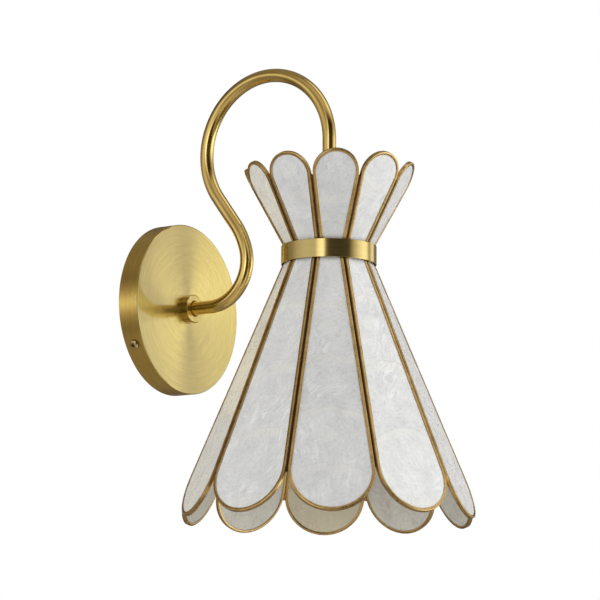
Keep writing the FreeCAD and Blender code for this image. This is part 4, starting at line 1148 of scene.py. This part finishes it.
def make_frame(kind, i):
    P = Petal(kind, i)
    rails = [P.outline(d) for d, z in SECTION]
    n, k = len(rails[0]), len(SECTION)
    verts, faces, gap_patina_and_shade, wear_and_highlight = [], [], [], []
    seed = i * 7.3 + (100 if kind == "upper" else 0)
    for a in range(n):
        tag, t = rails[0][a][2], rails[0][a][3]
        # hand-bent: the face's inner lip wanders a little
        x0, y0 = rails[0][a][0], rails[0][a][1]
        w1 = wobble(x0 / 9.0, y0 / 9.0, seed) * 0.11
        w2 = wobble(x0 / 14.0, y0 / 14.0, seed + 31.0) * 0.05
        if tag in (1, 3):
            side = 1.0
        elif tag == 2:
            side = max(0.0, 1.0 - min(t, 1 - t) / 0.045)
        else:
            side = 0.6
        for b in range(k):
            x, y = rails[b][a][0], rails[b][a][1]
            d, z = SECTION[b]
            if d > 1.2:
                # move along the inset direction
                x2, y2 = (x - rails[0][a][0]) / d, (y - rails[0][a][1]) / d
                x, y = x + x2 * w1, y + y2 * w1
            if -0.6 < z or z < -2.4:
                z = z + min(0.0, w2) if z > -0.6 else z - min(0.0, w2)
            verts.append(P.world(x, y, z))
            # painted shade: darker the deeper it lies in the gap beside the next frame, and inside the channel's hollow
            out = 1.0 if d < 0.05 else max(0.0, 1.0 - (d - 0.05) / 0.32)
            deep = min(1.0, max(0.0, (-z - (1.05 if kind == "lower" else 0.55)) / 0.6))
            inside = 1.0 if (0.65 <= d <= 1.4 and -2.55 < z < -0.45) else 0.0
            gap_patina_and_shade.append(min(1.0, side * out * (0.10 + 0.80 * deep) + inside * 0.5))
            # painted highlight, partly wear: brighter near both edges of the face, less along the sides
            lip = max(0.0, 1.0 - abs(d - 2.02) / 0.20) if z > -0.35 or z < -2.65 else 0.0
            rim = max(0.0, 1.0 - abs(d - 0.15) / 0.20) if (z > -0.5 or z < -2.5) else 0.0
            wear_and_highlight.append(min(1.0, 0.8 * lip + 0.9 * rim * (1 - 0.75 * side)))
    for a in range(n):
        for b in range(k):
            p, q = (a + 1) % n, (b + 1) % k
            faces.append((a * k + b, p * k + b, p * k + q, a * k + q))
    fmat = [0] * len(faces)
    # dark seam between this frame and the next one round the shade: solder, near black as painted shade in the gap
    c18, s18 = math.cos(math.pi / 10), math.sin(math.pi / 10)
    sgn = P.c["up"]                       # +x of the petal is towards the next one only on the crown
    o, tt = P.o, P.t
    e_r = o * c18 + tt * s18
    e_t = tt * c18 - o * s18
    ty = P.cen - P.R * math.sin(P.slope)
    rows = []
    steps = 40
    far = ty - 0.6 + (NOTCH.get(i, 0.0) if kind == "lower" else 0.0)
    for a in range(steps + 1):
        v = P.c["start"] + 0.4 + (far - P.c["start"] - 0.4) * a / steps
        xs = (P.c["face"] + v * P.sin) * TAN - P.c["gap"] if v <= ty else P.width(v, 0.0)
        rip = 0.10 * wobble(v / 3.0, seed, 5.0)
        end = 0.35 if a in (0, steps) else 0.0

        def where(x, z):
            ap = P.c["face"] + v * P.sin + z * P.cos
            zw = 26.5 + P.c["up"] * (v * P.cos - z * P.sin)
            rho = ap * c18 + x * s18
            tau = x * c18 - ap * s18
            return rho, tau, zw

        A = where(xs - 0.04, -2.98)
        B = where(xs - 0.04, -SEAM_TOP[kind] - end + rip)
        zc = -SEAM_TOP[kind] - 0.35 - end + rip
        C = where((P.c["face"] + v * P.sin + zc * P.cos) * TAN, zc)
        D = where((P.c["face"] + v * P.sin - 3.10 * P.cos) * TAN, -3.10)
        row = []
        for rho, tau, zw in (A, B, C, (B[0], -B[1], B[2]), (A[0], -A[1], A[2]), D):
            pt = AX + e_r * rho + e_t * tau
            row.append(Vector((pt.x, pt.y, zw)))
        rows.append(row)
    base = len(verts)
    for row in rows:
        verts += row
        gap_patina_and_shade += [0.12] * 6
        wear_and_highlight += [0.0, SEAM_EDGE[kind], 0.0, SEAM_EDGE[kind], 0.0, 0.0]
    m6 = len(rows)
    for a in range(m6 - 1):
        for b in range(6):
            q = (b + 1) % 6
            faces.append((base + a * 6 + b, base + (a + 1) * 6 + b, base + (a + 1) * 6 + q, base + a * 6 + q))
            fmat.append(0 if b in (4, 5) else 1)
    faces.append(tuple(base + b for b in range(6)))
    faces.append(tuple(base + (m6 - 1) * 6 + b for b in range(5, -1, -1)))
    fmat += [1, 1]
    finish_mesh("%s_frame_%02d" % (kind, i + 1), verts, faces, [M_FRAME, M_SOLDER_AND_SHADE], ["%s_came_%02d" % (kind, i + 1)],
                sharp=34, attrs={"gap_patina_and_shade": ("FLOAT", gap_patina_and_shade), "wear_and_highlight": ("FLOAT", wear_and_highlight)}, fmat=fmat, even=False)


# where a leaf's edge crosses the petal's middle (mm below the waist), the leaves' pitch and their lean
LEAVES = {"lower": {0: (81.5, 40.5, 0.05), 9: (88.0, 48.0, -0.16), 1: (85.0, 50.0, -0.10)},
          "upper": {0: (30.5, 46.0, -0.06), 1: (43.5, 46.0, 0.34), 9: (35.5, 44.0, 0.02)}}


def make_shell(kind, i):
    """A leafed shell panel: two gently uneven faces with a step where one leaf overlaps the next."""
    P = Petal(kind, i)
    inset = 0.8
    y0 = P.c["start"] + inset
    y1 = P.cen + P.R - inset
    rows = 92 if kind == "lower" else 44
    cols = 22
    seed = 3.7 * i + (50 if kind == "upper" else 0)
    r = P.R - inset
    ys = []
    for a in range(rows + 1):
        t = a / rows
        ys.append(y0 + (y1 - y0) * t)
    # finer towards the round end
    tail = [P.cen + r * math.sin(math.pi / 2 * k / 16) for k in range(4, 16)]
    ys = sorted(set([y for y in ys if y < tail[0] - 0.3] + tail))

    v0, pitch, lean = LEAVES[kind].get(i) or (
        (72.0 + 14.0 * wobble(seed, 3.3, 1.7), 46.0 + 4.0 * wobble(seed, 8.1, 2.2), 0.2 * wobble(seed, 5.5, 6.1)) if kind == "lower" else
        (34.0 + 9.0 * wobble(seed, 1.3, 4.7), 44.0, 0.3 * wobble(seed, 5.5, 6.1)))

    def down(x, y):
        """Distance down the stack of leaves, in the same measure on every petal."""
        return (y - v0 + lean * x) * PITCH / pitch + 4 * PITCH

    def height(x, y):
        h = 0.055 * wobble(x / 17.0, y / 17.0, seed) + 0.022 * wobble(x / 5.0, y / 5.0, seed + 9)
        # each leaf lies over the one above it: a thin curved step at its edge
        q = (down(x, y) - x * x / 72.0) / PITCH
        part = q - math.floor(q)
        return h + 0.09 * (min(part, (1 - part) * 14.0) - 0.5) * -1.0

    verts, faces, shade_tint, leaf = [], [], [], []
    wf = OUTER_SHADE_TINT[kind][i]
    wb = INNER_SHADE_TINT[i]

    def sheet(z, sign, w):
        base = len(verts)
        for y in ys:
            hw = P.width(y, inset)
            for b in range(cols + 1):
                u = -1 + 2 * b / cols
                x = hw * math.sin(u * math.pi / 2) if abs(u) < 1 else hw * u
                edge = min(1.0, (1 - abs(u)) * 6)
                zz = z + sign * (height(x, y) * edge)
                verts.append(P.world(x, y, zz))
                shade_tint.append(w)
                leaf.append((x, down(x, y), i + (40.0 if kind == "upper" else 0.0)))
        verts.append(P.world(0.0, y1, z))
        shade_tint.append(w)
        leaf.append((0.0, down(0.0, y1), i + (40.0 if kind == "upper" else 0.0)))
        tip = len(verts) - 1
        return base, tip

    fb, ft = sheet(-0.58, 1.0, wf)
    bb, bt = sheet(-2.42, -1.0, wb)
    n, c = len(ys), cols + 1
    for base, tip in ((fb, ft), (bb, bt)):
        for a in range(n - 1):
            for b in range(cols):
                p = base + a * c + b
                faces.append((p, p + 1, p + c + 1, p + c))
        last = base + (n - 1) * c
        for b in range(cols):
            faces.append((last + b, last + b + 1, tip))
    # rim
    fr = [fb + b for b in range(c)] + [fb + a * c + cols for a in range(1, n)] + [ft] + [fb + a * c for a in range(n - 1, 0, -1)]
    br = [bb + b for b in range(c)] + [bb + a * c + cols for a in range(1, n)] + [bt] + [bb + a * c for a in range(n - 1, 0, -1)]
    for k in range(len(fr)):
        q = (k + 1) % len(fr)
        faces.append((fr[k], fr[q], br[q], br[k]))
    finish_mesh("%s_shell_%02d" % (kind, i + 1), verts, faces, [M_SHELL], ["%s_panel_%02d" % (kind, i + 1)],
                sharp=40, attrs={"shade_tint": ("FLOAT", shade_tint), "leaf": ("FLOAT_VECTOR", leaf)}, even=False)


for kind in ("lower", "upper"):
    for i in range(10):
        make_frame(kind, i)
        make_shell(kind, i)

# ================================================================ lamp holder
cap = fillet([(4.80, 22.2), (7.6, 22.2), (7.6, 19.2), (14.6, 15.2), (17.6, 13.0), (17.6, 2.6), (17.9, 2.6), (17.9, 2.0), (16.4, 2.0), (16.4, 12.4),
              (14.0, 14.0), (7.6, 17.6), (7.6, 15.8), (4.80, 15.8)],
             [0.2, 0.5, 0.6, 3.0, 1.6, 0.1, 0.2, 0.1, 0.1, 1.0, 2.0, 0.3, 0.2, 0.2], 5)
turned("socket_cap", refine(cap, 1.0), AX, X3, Y3, Z3, [M_INNER], ["holder_cap"], segs=128)

shell_out = [(2.6, 7.0), (16.25, 7.0), (16.25, 2.0), (17.6, 2.0), (17.6, -2.5), (17.2, -3.1), (17.2, -5.1), (17.6, -5.7), (17.6, -24.0), (17.1, -24.6),
             (17.1, -25.6), (17.6, -26.2), (17.6, -28.4), (16.8, -30.0), (15.3, -30.0), (14.7, -29.3), (14.7, -2.0), (2.6, -2.0)]
holder = fillet(shell_out, [0.2, 0.3, 0.1, 0.3, 0.2, 0.2, 0.2, 0.2, 0.2, 0.2, 0.2, 0.2, 0.4, 0.6, 0.3, 0.2, 0.3, 0.2], 4)
turned("socket_body", refine(holder, 1.2), AX, X3, Y3, Z3, [M_PORC], ["holder_body"], segs=128)


def rolled(r_mid, amp, pitch, lo, hi):
    """A rolled round thread: radius swings with height and turns with the angle."""
    def f(r, h, q):
        if lo < h < hi:
            fade = min(1.0, (h - lo) / 1.2, (hi - h) / 1.2)
            return r + amp * fade * math.cos(2 * math.pi * (h / pitch + q / (2 * math.pi))), h
        return r, h
    return f


# inner shell of the holder, clear of the bulb's cap at every height
outer = [(6.0, -2.02), (13.4, -2.02), (13.95, -2.6)] + [(13.98, -3.0 - 0.35 * k) for k in range(0, 63)] + [(14.0, -25.4), (14.25, -26.0)]
inner = [(13.95, -26.0)] + [(13.70, -25.4)] + [(13.68, -24.7 + 0.35 * k) for k in range(0, 62)] + [(13.60, -2.7), (13.3, -2.36), (6.0, -2.36)]
turned("threaded_shell", outer + inner, AX, X3, Y3, Z3, [M_LIVE], ["screw_shell"], segs=96, sharp=45,
       radius=rolled(0, 0.30, 3.62, -25.0, -3.0))

# centre contact: a bent tongue
side = [(-5.0, -2.02), (-5.0, -2.52), (-2.0, -2.52), (1.2, -5.3), (3.6, -4.9), (3.6, -4.4), (1.3, -4.75), (-1.8, -2.02)]
side = fillet(side, [0.1, 0.1, 1.0, 0.6, 0.15, 0.15, 0.8, 1.0], 4)
verts, faces = [], []
for yy in (-2.0, -1.85, 1.85, 2.0):
    shrink = 0.93 if abs(yy) > 1.9 else 1.0
    cx = sum(p[0] for p in side) / len(side)
    for x, z in side:
        verts.append(AX + Vector((x if shrink == 1 else cx + (x - cx) * 0.985, yy, z)))
n = len(side)
for a in range(3):
    for b in range(n):
        q = (b + 1) % n
        faces.append((a * n + b, a * n + q, (a + 1) * n + q, (a + 1) * n + b))
faces.append(tuple(range(n)))
faces.append(tuple(3 * n + b for b in range(n - 1, -1, -1)))
finish_mesh("spring_tongue", verts, faces, [M_LIVE], ["centre_contact"], sharp=35)

# ================================================================ bulb
Rb, tb, zc, nr, zl, zt = 30.0, 0.8, -83.3, 12.3, -32.0, -22.0
rho = (nr ** 2 + (zl - zc) ** 2 - Rb ** 2) / (2 * (Rb - nr))
cx, cy = nr + rho, zl
af = math.atan2(cy - zc, cx)


def glass_side(off):
    """The bulb's outline, thinner by off, from the neck down to the pole."""
    out = [(nr - off, zt), (nr - off, (zt + zl) / 2), (nr - off, zl)]
    for k in range(1, 25):
        q = math.pi + af * k / 24
        out.append((cx + (rho + off) * math.cos(q), cy + (rho + off) * math.sin(q)))
    for k in range(1, 49):
        q = af + (-math.pi / 2 - af) * k / 48
        out.append(((Rb - off) * math.cos(q) if k < 48 else 0.0, zc + (Rb - off) * math.sin(q)))
    return out


ext, inn = glass_side(0.0), glass_side(tb)
turned("bulb_envelope", list(reversed(inn)) + ext, AX, X3, Y3, Z3, [M_GLASS], ["bulb_glass"], body="bulb", segs=96,
       closed=False, sharp=60)

cap_out = [(0.0, -7.2), (4.9, -7.2), (5.6, -7.35), (8.6, -8.3), (11.2, -9.6), (12.0, -10.1), (12.45, -10.7)]
cap_out += [(12.62, -11.2 - 0.30 * k) for k in range(0, 56)]
cap_out += [(12.75, -28.4), (12.95, -29.2), (13.0, -29.7), (12.85, -30.0)]
cap_in = [(12.45, -30.0), (12.35, -28.0), (12.2, -11.6), (11.2, -10.9), (0.0, -10.9)]


def is_vitrite(a, b):
    return 1 if max(a[0], b[0]) <= 11.3 and min(a[1], b[1]) > -9.7 else 0


turned("bulb_screw_cap", cap_out + cap_in, AX, X3, Y3, Z3, [M_BULBCAP, M_VITRITE], ["bulb_cap"], body="bulb", segs=96,
       closed=False, sharp=45, radius=rolled(0, 0.33, 3.62, -27.9, -11.2), pick=is_vitrite)
foot = fillet([(0.0, -7.2), (4.4, -7.2), (4.4, -6.6), (2.6, -5.7), (0.0, -5.5)], [0, 0.15, 0.5, 0.8, 0], 4, closed=False)
turned("bulb_foot", foot, AX, X3, Y3, Z3, [M_BULBCAP], ["bulb_contact"], body="bulb", segs=64, closed=False)

# ================================================================ floor, light, world
floor_me = bpy.data.meshes.new("floor")
bm = bmesh.new()
bmesh.ops.create_grid(bm, x_segments=8, y_segments=8, size=9.0)
bm.to_mesh(floor_me)
bm.free()
floor = bpy.data.objects.new("floor", floor_me)
floor.location = (0, 0, -2.2)               # a wall light hangs about this high
floor.visible_glossy = False
floor.visible_diffuse = False               # the world's lower half stands for its bounce
scene.collection.objects.link(floor)
mat, g, p = material("pale_floor")
n = g.noise(g.place(), 3.0, 3.0, 0.5)
g.put(p.inputs["Base Color"], g.mix(g.span(n, 0.3, 0.7), (0.86, 0.86, 0.86), (0.90, 0.90, 0.90)))
p.inputs["Roughness"].default_value = 0.75
p.inputs["Emission Color"].default_value = (1.0, 1.0, 1.0, 1.0)
p.inputs["Emission Strength"].default_value = 0.46
floor_me.materials.append(mat)


def lamp(name, at_, to, size, power, colour=(1, 1, 1), size_y=None):
    d = bpy.data.lights.new(name, "AREA")
    d.shape = "RECTANGLE"
    d.size, d.size_y = size, size_y or size
    d.energy = power
    d.color = colour
    o = bpy.data.objects.new(name, d)
    o.location = at_
    o.rotation_euler = (Vector(to) - Vector(at_)).to_track_quat("-Z", "Y").to_euler()
    o.visible_camera = False
    scene.collection.objects.link(o)
    return o


def spot(az, el, dist):
    a, e = math.radians(az), math.radians(el)
    return Vector((math.sin(a) * math.cos(e) * dist, -0.1 - math.cos(a) * math.cos(e) * dist, math.sin(e) * dist))


MID = (0.0, -0.10, 0.0)
for o in (lamp("key_left", spot(-130, 5, 1.9), MID, 1.2, 23.5, size_y=1.6),
          lamp("key_front", spot(10, 5, 2.0), MID, 1.3, 21.0, size_y=1.8),
          lamp("key_right", spot(40, 16, 2.0), MID, 1.3, 13.5, size_y=1.8),
          lamp("key_back", spot(118, 14, 2.0), MID, 1.3, 15.0, size_y=1.6),
          lamp("overhead", spot(-30, 78, 1.8), MID, 1.6, 5.0, size_y=1.6),
          lamp("from_below", spot(-35, -62, 1.7), MID, 1.3, 4.8, size_y=1.3)):
    o.visible_glossy = False           # their mirror images come from the studio below

world = bpy.data.worlds.new("studio")
scene.world = world
world.use_nodes = True
t = world.node_tree
t.nodes.clear()
g = Graph(t)
out = g.add("OutputWorld")
bg = g.add("Background")
t.links.new(bg.outputs[0], out.inputs[0])
d = g.split(g.add("TexCoord").outputs["Generated"])
az = g.math("ARCTAN2", d[0], g.math("MULTIPLY", d[1], -1.0))
turns = g.math("ADD", g.math("DIVIDE", az, 2 * math.pi), 0.5)
turns = g.math("SUBTRACT", turns, g.span(d[2], 0.17, 0.50, 0.0, 9.0 / 360.0))     # the boxes lean a little


def deg(a):
    return (a + 180.0) / 360.0


# tall soft boxes and dark flags round the object, seen in the brass
K = 0.70
around = g.ramp(turns, [(deg(a), v * K) for a, v in (
    (-180, 0.34), (-160, 0.42), (-140, 0.78), (-118, 0.99), (-100, 0.96), (-90, 0.94), (-84, 1.90), (-71, 2.40), (-65, 0.22), (-56, 0.08),
    (-30, 0.07), (-8, 0.10), (1, 0.56), (20, 1.45), (34, 1.92), (45, 1.86), (51, 1.15), (55, 0.68), (60, 0.68), (66, 1.30), (74, 1.45), (79, 1.10),
    (85, 0.28), (96, 0.26), (112, 0.42), (140, 0.34), (180, 0.34))])
# each box is brightest at its middle height; the wide one on the right hangs lower
offset = g.math("DIVIDE", g.math("SUBTRACT", d[2], 0.085), 0.22)
belt = g.math("ADD", 0.12, g.math("DIVIDE", 0.88, g.math("ADD", 1.0, g.math("MULTIPLY", offset, offset))))
low_box = g.math("MULTIPLY", g.span(d[2], 0.02, 0.42, 1.08, 0.36, smooth=True), g.span(d[2], -0.62, -0.44, 0.4, 1.0, smooth=True))
wide = g.ramp(turns, [(deg(a), v) for a, v in ((-180, 0.0), (-12, 0.0), (0, 1.0), (46, 1.0), (58, 0.0), (180, 0.0))])
around = g.vmath("SCALE", around, scale=g.math("ADD", g.math("MULTIPLY", belt, g.math("SUBTRACT", 1.0, wide)), g.math("MULTIPLY", low_box, wide)))
upper = g.span(d[2], 0.50, 0.76, smooth=True)
under = g.span(d[2], -0.34, -0.62, smooth=True)
front = g.math("ADD", g.math("MULTIPLY", d[0], -0.82), g.math("MULTIPLY", d[1], -0.57))
ceiling = g.vmath("SCALE", (K, K, K), scale=g.math("ADD", g.span(front, 0.1, 0.7, 0.26, 0.62, smooth=True), g.math("MULTIPLY", wide, 0.85)))
shine = g.mix(upper, around, ceiling)
ground = g.vmath("SCALE", (K, K, K), scale=g.math("ADD", g.span(front, 0.25, 0.7, 0.28, 0.58, smooth=True), g.math("MULTIPLY", wide, 0.06)))
shine = g.mix(under, shine, ground)
# dim parts of the room are warm
bright = g.math("DIVIDE", g.split(shine)[0], K)
shine = g.mix(g.span(bright, 0.40, 0.88, smooth=True), g.vmath("MULTIPLY", shine, (1.0, 0.87, 0.74)), shine)
# the same room as soft light
soft = g.vmath("SCALE", (K, K, K), scale=g.math("MULTIPLY", g.span(d[2], 0.1, -0.22, 0.37, 0.66, smooth=True), g.span(d[2], -0.22, -0.34, 1.0, 0.62)))
path = g.add("LightPath").outputs
level = g.mix(path["Is Glossy Ray"], soft, shine)
g.put(bg.inputs["Color"], g.mix(path["Is Camera Ray"], level, (1.0 * K, 1.0 * K, 1.0 * K)))
bg.inputs["Strength"].default_value = 1.0 / K

scene.view_settings.view_transform = "Standard"
scene.view_settings.look = "None"
scene.view_settings.exposure = 0.0
scene.view_settings.gamma = 1.0
scene.cycles.use_denoising = True
